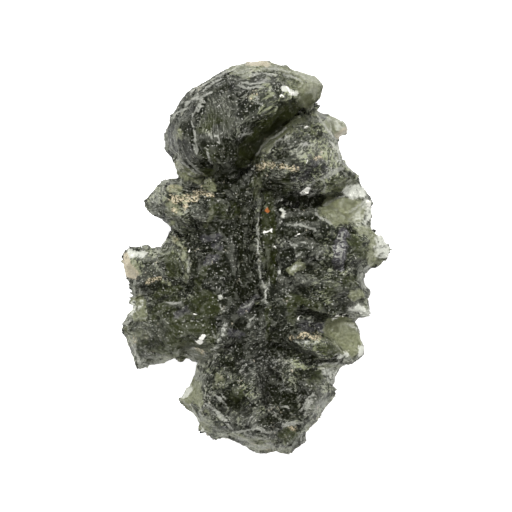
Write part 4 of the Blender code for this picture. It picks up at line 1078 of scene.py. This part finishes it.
def press_facets(mesh, width, turn, strength, most):
    """Moves each share's points towards their common plane, by at most so many millimetres.

    It gives back one random number per share, so that each facet can have its own tone: painted light that
    makes it lighter or darker, as if it caught the light differently.
    """
    points, normals = read_points(mesh)
    cell, count = share_out(points, normals, width, turn)
    size = np.maximum(np.bincount(cell, minlength=count), 1)[:, None]
    middle = np.column_stack([np.bincount(cell, points[:, k], count) for k in range(3)]) / size
    facing = np.column_stack([np.bincount(cell, normals[:, k], count) for k in range(3)]) / size
    evenness = np.linalg.norm(facing, axis=1)
    facing /= np.maximum(evenness, 1e-6)[:, None]
    height = ((points - middle[cell]) * facing[cell]).sum(1)
    push = np.clip(height * strength * np.clip(evenness[cell] * 1.6 - 0.5, 0, 1), -most, most)
    push *= etch_share(points, normals)
    write_points(mesh, points - facing[cell] * push[:, None])
    return dice.random(count)[cell]


print("at", GRAIN / MM, "mm a point, a facet of 1 mm holds", round((MM / GRAIN) ** 2), "points")

# %% [markdown]
# ## The stone's rims
#
# Seen from above, the outline is a torn edge. Sculpting it in edit mode would be slow work, so the
# corrections push it in plan, and a noise then jags whatever is steep.

# %% Push and jag the rims
JAG_CELL, JAG_REACH = 1.8, 0.14  # mm: how long the nicks are, and how deep


def push_outline(mesh):
    """Pushes the points near each correction's path sideways."""
    points, _ = read_points(mesh)
    moved = points.copy()
    for half_width, push, path in PUSHES:
        some = near_path(points[:, :2], path, half_width * 1.4)
        gap, _ = path_gap(points[some, :2], path)
        moved[some, :2] += smooth_step(1.3 - gap / half_width)[:, None] * push
    write_points(mesh, moved)


def jag_rims(mesh, cell, reach):
    """Pushes the steep outer rims in and out, so that the outline is torn and not rounded."""
    points, normals = read_points(mesh)
    steep = smooth_step(1.3 - 1.6 * np.abs(normals[:, 2]))
    push = np.array([noise.voronoi(Vector(p) / cell)[0][0] - 0.45 for p in points])
    push += 0.3 * np.array([noise.noise(Vector(p) / (cell * 0.4)) for p in points])
    push *= reach * steep * np.clip(points[:, 2] / FEET_TOP, 0, 1)
    level = normals * (1, 1, 0.2)
    write_points(mesh, points + level * push[:, None])


push_outline(stone.data)
jag_rims(stone.data, JAG_CELL, JAG_REACH)
rim_points, _ = read_points(stone.data)
print("the rims moved by up to", np.abs(rim_points - stone_points).max().round(2), "mm")

# %% [markdown]
# ## Three sizes of facet
#
# The stone has planes of every size, small ones lying on large ones. So the facets are pressed three times.
# The marks are drawn after the large ones, which would flatten them, and before the small ones, which then
# run over them as the etch does.

# %% Press the facets
large_tone = press_facets(stone.data, width=2.8, turn=1.8, strength=1.0, most=0.8)
draw_relief(stone.data)
middle_tone = press_facets(stone.data, width=1.3, turn=1.2, strength=0.9, most=0.25)
small_tone = press_facets(stone.data, width=0.65, turn=1.0, strength=0.8, most=0.10)
# Painted light: each facet's random tone makes it lighter or darker in the material, as if it caught the
# light differently.
facet_light_tone = large_tone * 0.45 + middle_tone * 0.35 + small_tone * 0.20
print("facet tones run from", facet_light_tone.min().round(2), "to", facet_light_tone.max().round(2))

# %% [markdown]
# ## The etched relief
#
# On the facets lie scooped cups of about a millimetre, and grooves at the limit of what the mesh can hold.
# Both are cells of a noise that is stretched along the flow. What is finer is bump in the material.

# %% Etch the mesh
CUPS, CUP_DEPTH = (0.8, 1.6, 1.0), 0.09  # mm: the cells along the flow's three coordinates, and their depth
GROOVES, GROOVE_DEPTH = (0.42, 1.3, 0.7), 0.08
SWAY_SIZE, SWAY = 3.0, (0.9, 0.6, 0.4)  # mm: how long the flow's short sways are, and how far they reach


def scoops(coordinates, cell):
    """Each point's distance to the nearest of many scattered pits, with cell the pits' usual spacing."""
    return np.array([noise.voronoi(Vector(p))[0][0] for p in coordinates / np.array(cell)])


points, normals = read_points(stone.data)
sway = np.array([noise.fractal(Vector(p), 1.0, 2.0, 3) for p in points / SWAY_SIZE])
bent_flow = flow_coordinates(points) + sway[:, None] * np.array(SWAY)
cups = scoops(bent_flow, CUPS)
grooves = scoops(bent_flow, GROOVES)
rise = CUP_DEPTH * (cups - cups.mean()) + GROOVE_DEPTH * (grooves - grooves.mean())
rise *= etch_share(points, normals)
write_points(stone.data, points + normals * rise[:, None])
print("etch moved points by up to", round(float(np.abs(rise).max()), 2), "mm")

# %% [markdown]
# ## Fewer triangles
#
# The even grid has more triangles than the smooth places need. Decimate gives them up where the surface is
# flat and keeps them on the edges. Each facet's tone, the painted light that makes some facets lighter than
# others, is kept on the points as an attribute first, because Decimate carries attributes along.

# %% Decimate
MOST_TRIANGLES = 188000


def keep_attribute(mesh, name, values):
    """Stores one number per point under a name that the material can read."""
    attribute = mesh.attributes.new(name, "FLOAT", "POINT")
    attribute.data.foreach_set("value", values.astype(np.float32))


def count_triangles(mesh):
    return sum(len(polygon.vertices) - 2 for polygon in mesh.polygons)


keep_attribute(stone.data, "facet", facet_light_tone)
triangles = count_triangles(stone.data)
thin = stone.modifiers.new("Fewer triangles", "DECIMATE")
thin.ratio = min(1.0, MOST_TRIANGLES / triangles)
apply_all(stone)
print(triangles, "triangles became", count_triangles(stone.data))

# %% [markdown]
# ## Where each finish lies
#
# The finishes could be painted on an image, but an image has seams and a fixed grain. So each one is kept as
# an attribute, one number per point, and the material breaks its edge up. The marks lie on what faces up and
# fade out on the walls, where they would run down in streaks. Pale glass fades least, because a rim's wall
# is as clear as its top.

# %% Finishes as attributes
FINISHES = ("dark", "olive", "grey", "violet", "pale", "cream", "milk", "white", "tan", "rust", "shade",
            "glow")

points, normals = read_points(stone.data)
plan = wobble_plan(points)
facing_up = smooth_step(normals[:, 2] * 2.5 + 0.30)
for finish in FINISHES:
    cover = np.zeros(len(points))
    for mark in MARKS:
        if mark.finish == finish:
            some = near_path(plan, mark.path, mark.half_width * 1.6)
            gap, _ = path_gap(plan[some], mark.path)
            cover[some] = np.maximum(cover[some], mark.amount * smooth_step(1.6 - gap / mark.half_width))
    keep_attribute(stone.data, finish, cover * (facing_up * 0.6 + 0.4 if finish == "pale" else facing_up))
keep_attribute(stone.data, "etch", etch_share(points, normals))
print(len(FINISHES), "finishes kept")

# %% [markdown]
# ## The pale lines and the crests
#
# The lines are drawn on less wobbled positions than the marks, or they would break up. A point that stands
# above the average of its neighbours is on a crest, and one that lies below it is in a groove.

# %% Lines and crests as attributes
CREST_RANGE = 0.10  # mm of fine height from the deepest groove to the sharpest crest

line_plan = 0.6 * points[:, :2] + 0.4 * plan
lines = np.zeros(len(points))
for path in LINES:
    some = near_path(line_plan, path, LINE_HALF_WIDTH * 3)
    gap, _ = path_gap(line_plan[some], path)
    lines[some] = np.maximum(lines[some], smooth_step(1.8 - gap / LINE_HALF_WIDTH * 0.7))
keep_attribute(stone.data, "line", lines * facing_up)

near_mean = neighbour_average(stone.data, points, 5)
fine_height = ((points - near_mean) * normals).sum(1)
keep_attribute(stone.data, "crest", np.clip(0.5 + fine_height / CREST_RANGE, 0, 1))
print("fine height, mm:", np.percentile(fine_height, (5, 50, 95)).round(3))

# %% [markdown]
# ## How thick the glass is
#
# A renderer would find out how deep the glass is by itself, but the skin is opaque, and it has to let the
# light through only where the stone is thin. So a ray goes inwards from each point, and the length to the
# far side is kept.

# %% Glass depth
DEEPEST = 9.0  # mm: thicker glass than this is black anyway
RAY_START = 0.15  # mm under the skin

tree = BVHTree.FromPolygons([Vector(p) for p in points], [tuple(q.vertices) for q in stone.data.polygons])
inward = -neighbour_average(stone.data, normals, 12)
inward /= np.linalg.norm(inward, axis=1)[:, None]
depth = np.full(len(points), DEEPEST)
for index, (point, way) in enumerate(zip(points, inward)):
    hit = tree.ray_cast(Vector(point + way * RAY_START), Vector(way))
    if hit[3] is not None:
        depth[index] = min(hit[3], DEEPEST)
depth = neighbour_average(stone.data, depth[:, None], 12)[:, 0]
keep_attribute(stone.data, "depth", depth / DEEPEST)
print("glass depth, mm:", np.percentile(depth, (5, 25, 50, 75, 95)).round(1))

# %% [markdown]
# ## The rim
#
# Round the whole outline runs a band of fine fracture lines that follow it. The material also lightens this
# band with painted light, as if the lit sheet shone through the thin edge. To find the outline, a step is
# taken outwards from each steep point. Where there is no stone above or below that step, the point is on the
# outline. How far every other point is from it tells where the band lies.

# %% Rim band
OUTWARD_STEP = 0.4  # mm
RIM_WIDTH = 1.5  # mm
ABOVE_ALL = 30  # mm: higher than any part of the stone

steep = np.nonzero(np.abs(normals[:, 2]) < 0.5)[0]
level = normals[steep, :2] / np.linalg.norm(normals[steep, :2], axis=1)[:, None]
rim_tree = KDTree(len(steep))
for index, (x, y) in zip(steep, points[steep, :2] + OUTWARD_STEP * level):
    if tree.ray_cast(Vector((x, y, ABOVE_ALL)), Vector((0, 0, -1)))[3] is None:
        rim_tree.insert((*points[index, :2], 0), index)
rim_tree.balance()
rim_gap = np.array([rim_tree.find((x, y, 0))[2] for x, y in points[:, :2]])
keep_attribute(stone.data, "rim", smooth_step(1 - rim_gap / RIM_WIDTH) * smooth_step(normals[:, 2] * 3 + 0.2))


def keep_vectors(mesh, name, vectors):
    """Stores three numbers per point under a name, for a pattern's coordinates."""
    attribute = mesh.attributes.new(name, "FLOAT_VECTOR", "POINT")
    attribute.data.foreach_set("vector", vectors.astype(np.float32).ravel())


keep_vectors(stone.data, "rim_map", np.column_stack([rim_gap, points[:, :2]]))
print("share of points within the rim band:", (rim_gap < RIM_WIDTH).mean().round(2))

# %% [markdown]
# ## The hatch
#
# The needle-fine grooves are too fine for the mesh, so the material draws them. It needs coordinates that
# run with the flow, as wood grain does. They are bent a little from place to place, so that no two patches
# of grooves are quite parallel.

# %% Hatch coordinates
hatch = flow_coordinates(points)
hatch += 0.45 * np.array([noise.noise_vector(Vector(p) / 2.2) for p in points])
hatch += 0.05 * np.array([noise.noise_vector(Vector(p) / 0.6) for p in points])
keep_vectors(stone.data, "hatch", hatch)
print("hatch coordinates span", np.ptp(hatch, axis=0).round(1), "mm")

# %% [markdown]
# ## Shader maths
#
# Masks could be wired by hand, but fifty Math nodes are hard to read. So a small class stands for a value
# that a node gives, and masks are written as sums. A second class holds a material's nodes and adds to them.

# %% Node helpers
class Wire:
    """A node's output, or a number, that adds Math nodes when it is used in an expression."""

    def __init__(self, sheet, socket):
        self.sheet, self.socket = sheet, socket

    def _math(self, operation, *values):
        return self.sheet.add("ShaderNodeMath", {"operation": operation}, *values)

    def __add__(self, other):
        return self._math("ADD", self, other)

    def __sub__(self, other):
        return self._math("SUBTRACT", self, other)

    def __rsub__(self, other):
        return self._math("SUBTRACT", other, self)

    def __mul__(self, other):
        return self._math("MULTIPLY", self, other)

    __radd__, __rmul__ = __add__, __mul__

    def clamp(self):
        return self.sheet.add("ShaderNodeClamp", {}, self)


class Sheet:
    """A material's node tree."""

    def __init__(self, name):
        self.material = bpy.data.materials.new(name)
        self.material.use_nodes = True
        self.nodes = self.material.node_tree.nodes
        self.links = self.material.node_tree.links
        self.nodes.clear()
        self.output = self.nodes.new("ShaderNodeOutputMaterial")

    def add(self, kind, settings, *values, pick_output=0, **named):
        """Adds a node: its settings first, then the values or wires of its sockets."""
        node = self.nodes.new(kind)
        for key, value in settings.items():
            setattr(node, key, value)
        for place, value in [*enumerate(values), *named.items()]:
            socket = node.inputs[place.replace("_", " ") if isinstance(place, str) else place]
            self.feed(socket, value)
        return Wire(self, node.outputs[pick_output])

    def feed(self, socket, value):
        """Links a wire to a socket, or sets the socket to a plain value."""
        if isinstance(value, Wire):
            self.links.new(value.socket, socket)
        else:
            socket.default_value = value

    def attribute(self, name, pick_output=2):
        return self.add("ShaderNodeAttribute", {"attribute_name": name}, pick_output=pick_output)

    def ramp(self, value, low, high, start=0.0, end=1.0):
        """value carried from low..high to start..end, smoothly, and held there."""
        settings = {"interpolation_type": "SMOOTHSTEP"}
        return self.add("ShaderNodeMapRange", settings, value, low, high, start, end)

    def mix_colour(self, factor, a, b):
        """Colour a where the factor is 0 and colour b where it is 1."""
        mixed = self.add("ShaderNodeMix", {"data_type": "RGBA"}, factor, pick_output=2)
        for place, colour in ((6, a), (7, b)):  # the Mix node's two colour sockets
            self.feed(mixed.socket.node.inputs[place], colour)
        return mixed

    def noise(self, where, scale, detail=2.0, roughness=0.5):
        return self.add("ShaderNodeTexNoise", {}, Vector=where, Scale=scale, Detail=detail,
                        Roughness=roughness)


glass = Sheet("moldavite_glass")
print("the material is", glass.material.name)

# %% [markdown]
# ## Fine texture
#
# The stone's skin has several textures at once: needles along the flow and across it, fracture lines at the
# rim, grains of frost and crumbs of soil. Each is one noise. Those that follow the flow read the hatch
# coordinates in millimetres, and the others read Object coordinates in metres, so their scales run to
# thousands.

# %% Fine texture
place = glass.add("ShaderNodeTexCoord", {}, pick_output=3)
hatch_wire = glass.attribute("hatch", pick_output=1)
etch_wire = glass.attribute("etch")
crest_wire = glass.attribute("crest")
depth_wire = glass.attribute("depth")
facet_light_wire = glass.attribute("facet")
rim_wire = glass.attribute("rim")
rim_place = glass.attribute("rim_map", pick_output=1)

ragged = glass.noise(place, 3000.0, detail=2.0, roughness=0.7) - 0.5
blotches = (glass.noise(place, 900.0, detail=2.0) - 0.5) * 1.2


def stretched(vector, across, along):
    """Coordinates with so many cells a millimetre across the flow, and so many along it."""
    return glass.add("ShaderNodeVectorMath", {"operation": "MULTIPLY"}, vector, (across, along, along))


turned = glass.add("ShaderNodeVectorRotate", {"rotation_type": "Z_AXIS"}, Vector=hatch_wire, Angle=1.0)
needles = glass.noise(stretched(hatch_wire, 4.2, 0.9), 1.0, detail=3.0, roughness=0.65)
hatched = glass.noise(stretched(hatch_wire, 5.2, 1.5), 1.0, detail=2.0, roughness=0.7)
cross_hatched = glass.noise(stretched(turned, 5.2, 1.7), 1.0, detail=2.0, roughness=0.7)
rim_lines = glass.noise(stretched(rim_place, 3.6, 0.6), 1.0, detail=2.0, roughness=0.7)
rim_lines = glass.ramp(rim_lines, 0.50, 0.57)
grain = glass.noise(place, 4200.0, detail=3.0, roughness=0.7)
dusted = glass.noise(place, 6000.0, detail=1.0, roughness=0.7)
crumbs = glass.ramp(glass.noise(place, 4600.0, detail=2.0, roughness=0.6), 0.48, 0.56)
# Painted glints: a few scattered bright points.
painted_glints = glass.ramp(glass.noise(place, 5400.0, detail=0.0), 0.73, 0.77)
patches = glass.noise(place, 420.0, detail=4.0, roughness=0.6)
clouds = glass.noise(place, 190.0, detail=3.0, roughness=0.6)
print(len(glass.nodes), "nodes so far")

# %% [markdown]
# ## The glass
#
# Real moldavite is clear green glass with a matt, etched skin. So the body is a plain refracting shader
# whose colour comes from volume absorption: thin rims are pale olive and the thick middle is nearly black.
# Two bumps lie on it, small chips first and needle-fine grooves over them.

# %% Glass body
BUMP_DEPTH = 0.00022  # metres

chips = glass.add("ShaderNodeTexVoronoi", {"feature": "F1", "distance": "CHEBYCHEV"},
                  Vector=stretched(hatch_wire, 1.25, 0.7), Scale=1.0)
folds = glass.noise(stretched(hatch_wire, 1.5, 0.45), 1.0, detail=2.0, roughness=0.6)
chipped = glass.add("ShaderNodeBump", {}, Strength=etch_wire * 0.7 + 0.1, Distance=BUMP_DEPTH,
                    Height=chips * 0.6 + folds * 0.9)
relief = needles * 0.7 + grain * 0.6
skin_bump = glass.add("ShaderNodeBump", {}, Strength=etch_wire * 0.6 + 0.3, Distance=BUMP_DEPTH,
                      Height=relief, Normal=chipped)
roughness = glass.ramp(patches, 0.35, 0.7, 0.28, 0.45)
body = glass.add(
    "ShaderNodeBsdfPrincipled", {},
    Base_Color=(0.90, 0.90, 0.74, 1), Roughness=roughness, IOR=1.49, Transmission_Weight=1.0,
    Normal=skin_bump)
absorb = glass.add("ShaderNodeVolumeAbsorption", {}, Color=(0.565, 0.58, 0.31, 1), Density=560.0)
print("glass body:", body.socket.node.bl_idname)

# %% [markdown]
# ## Masks
#
# Each finish's attribute becomes a mask. Noise is added to it before a steep ramp, so that its edge is
# crumbly and its middle has gaps. Shade and glow are broad tones and stay soft.

# %% Masks
def cover(name, soft=0.25):
    """A finish's mask, its edge and its middle broken up by noise."""
    return glass.ramp(glass.attribute(name) + ragged + blotches, 0.5 - soft, 0.5 + soft)


dark, olive, grey, violet = cover("dark"), cover("olive"), cover("grey"), cover("violet")
pale, milk, cream = cover("pale"), cover("milk"), cover("cream")
white, tan, rust = cover("white", 0.15), cover("tan"), cover("rust", 0.15)
line = glass.ramp(glass.attribute("line") + ragged * 1.2 + blotches * 0.4, 0.50, 0.80)
shade, glow = glass.attribute("shade"), glass.attribute("glow")
print(len(glass.nodes), "nodes so far")

# %% [markdown]
# ## The ground of the skin
#
# Between the pale bristles the etched skin is nearly black, because little light comes back out of thick
# glass. It is a little greener or greyer from cloud to cloud, and tinted by the marks. It is lighter on some
# facets and at the rim: painted light, as if the facets caught the light and the lit sheet shone through the
# thin rim. Grey and violet frost lay a painted sheen, crests get a painted highlight and grooves painted
# shade.

# %% Ground
ground = glass.mix_colour(glass.ramp(clouds, 0.42, 0.6), (0.006, 0.009, 0.002, 1), (0.010, 0.011, 0.007, 1))
ground = glass.mix_colour(glass.ramp(patches, 0.53, 0.67) * 0.7, ground, (0.040, 0.040, 0.036, 1))
# Painted light: some facets lighter, as if they caught the light differently.
ground = glass.mix_colour(glass.ramp(facet_light_wire, 0.42, 0.72) * 0.5, ground, (0.027, 0.031, 0.014, 1))
# Painted light: the rim band is lighter, as if the lit sheet shone through the thin edge.
ground = glass.mix_colour(rim_wire * 0.2, ground, (0.060, 0.064, 0.043, 1))
ground = glass.mix_colour(glow * 0.5, ground, (0.070, 0.074, 0.052, 1))
ground = glass.mix_colour(shade * 0.9, ground, (0.003, 0.004, 0.001, 1))
# Dark bare glass, and painted shade where a dark mark sinks a pit or a groove.
skin = glass.mix_colour(dark, ground, (0.006, 0.008, 0.001, 1))
skin = glass.mix_colour(olive * 0.9, skin, (0.027, 0.034, 0.004, 1))
# Painted sheen: grey and violet frost, lighter as if they mirrored the soft boxes.
skin = glass.mix_colour(grey * 0.6, skin, (0.072, 0.075, 0.060, 1))
skin = glass.mix_colour(violet * 0.8, skin, (0.056, 0.053, 0.061, 1))
# Painted highlight on crests and painted shade in grooves.
high, low = glass.ramp(crest_wire, 0.52, 0.85), glass.ramp(crest_wire, 0.48, 0.15)
skin = glass.mix_colour(low * 0.6, skin, (0.004, 0.005, 0.001, 1))
skin = glass.mix_colour(high * etch_wire * 0.3, skin, (0.20, 0.205, 0.17, 1))
print(len(glass.nodes), "nodes so far")

# %% [markdown]
# ## The pale bristles
#
# The etch's needle-fine crests catch the light, and these glints are painted as short pale strokes along the
# flow, crossed by others and dusted with specks: partly the etch's pale frost, partly painted highlight.
# Their noise is cut off high, and how thick they stand is added to it first: more strokes then pass the cut.
# They crowd on some facets, on crests and on grey frost, which adds to the painted light there, and are rare
# on dark and shaded glass.

# %% Bristles
bristle = glass.mix_colour(glass.ramp(clouds, 0.45, 0.6), (0.35, 0.375, 0.225, 1), (0.36, 0.36, 0.325, 1))
bristle = glass.mix_colour(olive * 0.7, bristle, (0.14, 0.16, 0.05, 1))
bristle = glass.mix_colour(violet * 0.8, bristle, (0.37, 0.36, 0.40, 1))
bristle = glass.mix_colour(shade * 0.6, bristle, (0.37, 0.372, 0.345, 1))
# Painted light: the bristles are paler at the rim.
bristle = glass.mix_colour(rim_wire * 0.4, bristle, (0.42, 0.43, 0.36, 1))
crowd = glass.ramp(glass.noise(place, 620.0, detail=3.0, roughness=0.6), 0.36, 0.62, 0.30, 0.95)
# Painted light: bristles crowd on the lighter facets, on sheen, crests and glow, and thin out in grooves.
thick = crowd * glass.ramp(facet_light_wire, 0.25, 0.75, 0.45, 1.2) * (etch_wire * 0.6 + 0.2)
thick = thick + grey * 0.14 + violet * 0.06 + high * 0.14 + glow * 0.22 - olive * 0.08 - low * 0.10
thick = thick * (1 - dark * 0.75) * (1 - shade * 0.75)
strokes = glass.ramp(hatched + thick * 0.13, 0.628, 0.672)
crossed = glass.ramp(cross_hatched + thick * 0.13, 0.650, 0.690)
specks = glass.ramp(dusted + thick * 0.05, 0.650, 0.700)
faint = (thick * 0.60 + 0.31 - shade * 0.10).clamp()
skin = glass.mix_colour(strokes * faint, skin, bristle)
skin = glass.mix_colour(crossed * faint, skin, bristle)
skin = glass.mix_colour(specks * faint, skin, (0.45, 0.46, 0.38, 1))
skin = glass.mix_colour(rim_lines * rim_wire * 0.5, skin, (0.38, 0.39, 0.33, 1))
print(len(glass.nodes), "nodes so far")

# %% [markdown]
# ## Frost, soil and flecks
#
# On top lie the finishes that hide the bristles. Pale glass is mottled, milk and cream are smoother, soil is
# a stain with crumbs on it, and the pale lines, flecks and a few painted glints come last.

# %% Frost, soil and flecks
mottled = glass.mix_colour(glass.ramp(grain, 0.42, 0.58), (0.165, 0.175, 0.090, 1), (0.34, 0.355, 0.22, 1))
mottled = glass.mix_colour(strokes * 0.55, mottled, (0.54, 0.55, 0.44, 1))
skin = glass.mix_colour((pale - pale * olive * 0.5).clamp(), skin, mottled)
skin = glass.mix_colour(milk * 0.9, skin, (0.60, 0.61, 0.54, 1))
skin = glass.mix_colour(cream * 0.85, skin, (0.57, 0.505, 0.37, 1))
# Pale lines: hairlines of frost, and in part painted highlight on edges that catch the light.
skin = glass.mix_colour(line * (crowd * 0.4 + 0.35), skin, (0.38, 0.385, 0.34, 1))
skin = glass.mix_colour(tan * 0.35, skin, (0.20, 0.175, 0.10, 1))
skin = glass.mix_colour(tan * crumbs * 0.9, skin, (0.56, 0.48, 0.33, 1))
skin = glass.mix_colour(rust, skin, (0.42, 0.13, 0.03, 1))
skin = glass.mix_colour(white, skin, (0.85, 0.84, 0.77, 1))
# Painted glints, laid last.
skin = glass.mix_colour(painted_glints * 0.5, skin, (0.66, 0.66, 0.60, 1))
print(len(glass.nodes), "nodes so far")

# %% [markdown]
# ## Skin over glass
#
# Skin and body are mixed by how much of the skin covers. It hides the dark thick middle, and lets the light
# through where the glass is thin. Olive and pale places are the clearest, and soil and white frost hide most.

# %% Skin over glass
cover_share = glass.ramp(depth_wire, 0.12, 0.60, 0.74, 0.90) - glow * 0.15
cover_share = cover_share - olive * 0.12 - pale * 0.28 + tan * 0.3 + white * 0.4 + milk * 0.3 + line * 0.2
cover_share = (cover_share + painted_glints * 0.3).clamp()
frost = glass.add(
    "ShaderNodeBsdfPrincipled", {}, Base_Color=skin, Roughness=0.5, IOR=1.45,
    Specular_IOR_Level=0.08, Normal=skin_bump)
surface = glass.add("ShaderNodeMixShader", {}, cover_share, body, frost)
glass.feed(glass.output.inputs["Surface"], surface)
glass.feed(glass.output.inputs["Volume"], absorb)
stone.data.materials.append(glass.material)
pick(stone)
bpy.ops.object.shade_smooth()
print("the material has", len(glass.nodes), "nodes")

# %% [markdown]
# ## Into the frame
#
# The stone is one loose piece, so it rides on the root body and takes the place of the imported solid.

# %% Place it in the frame
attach(stone, "root")
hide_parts("moldavite")
print("triangles:", count_triangles(stone.data))
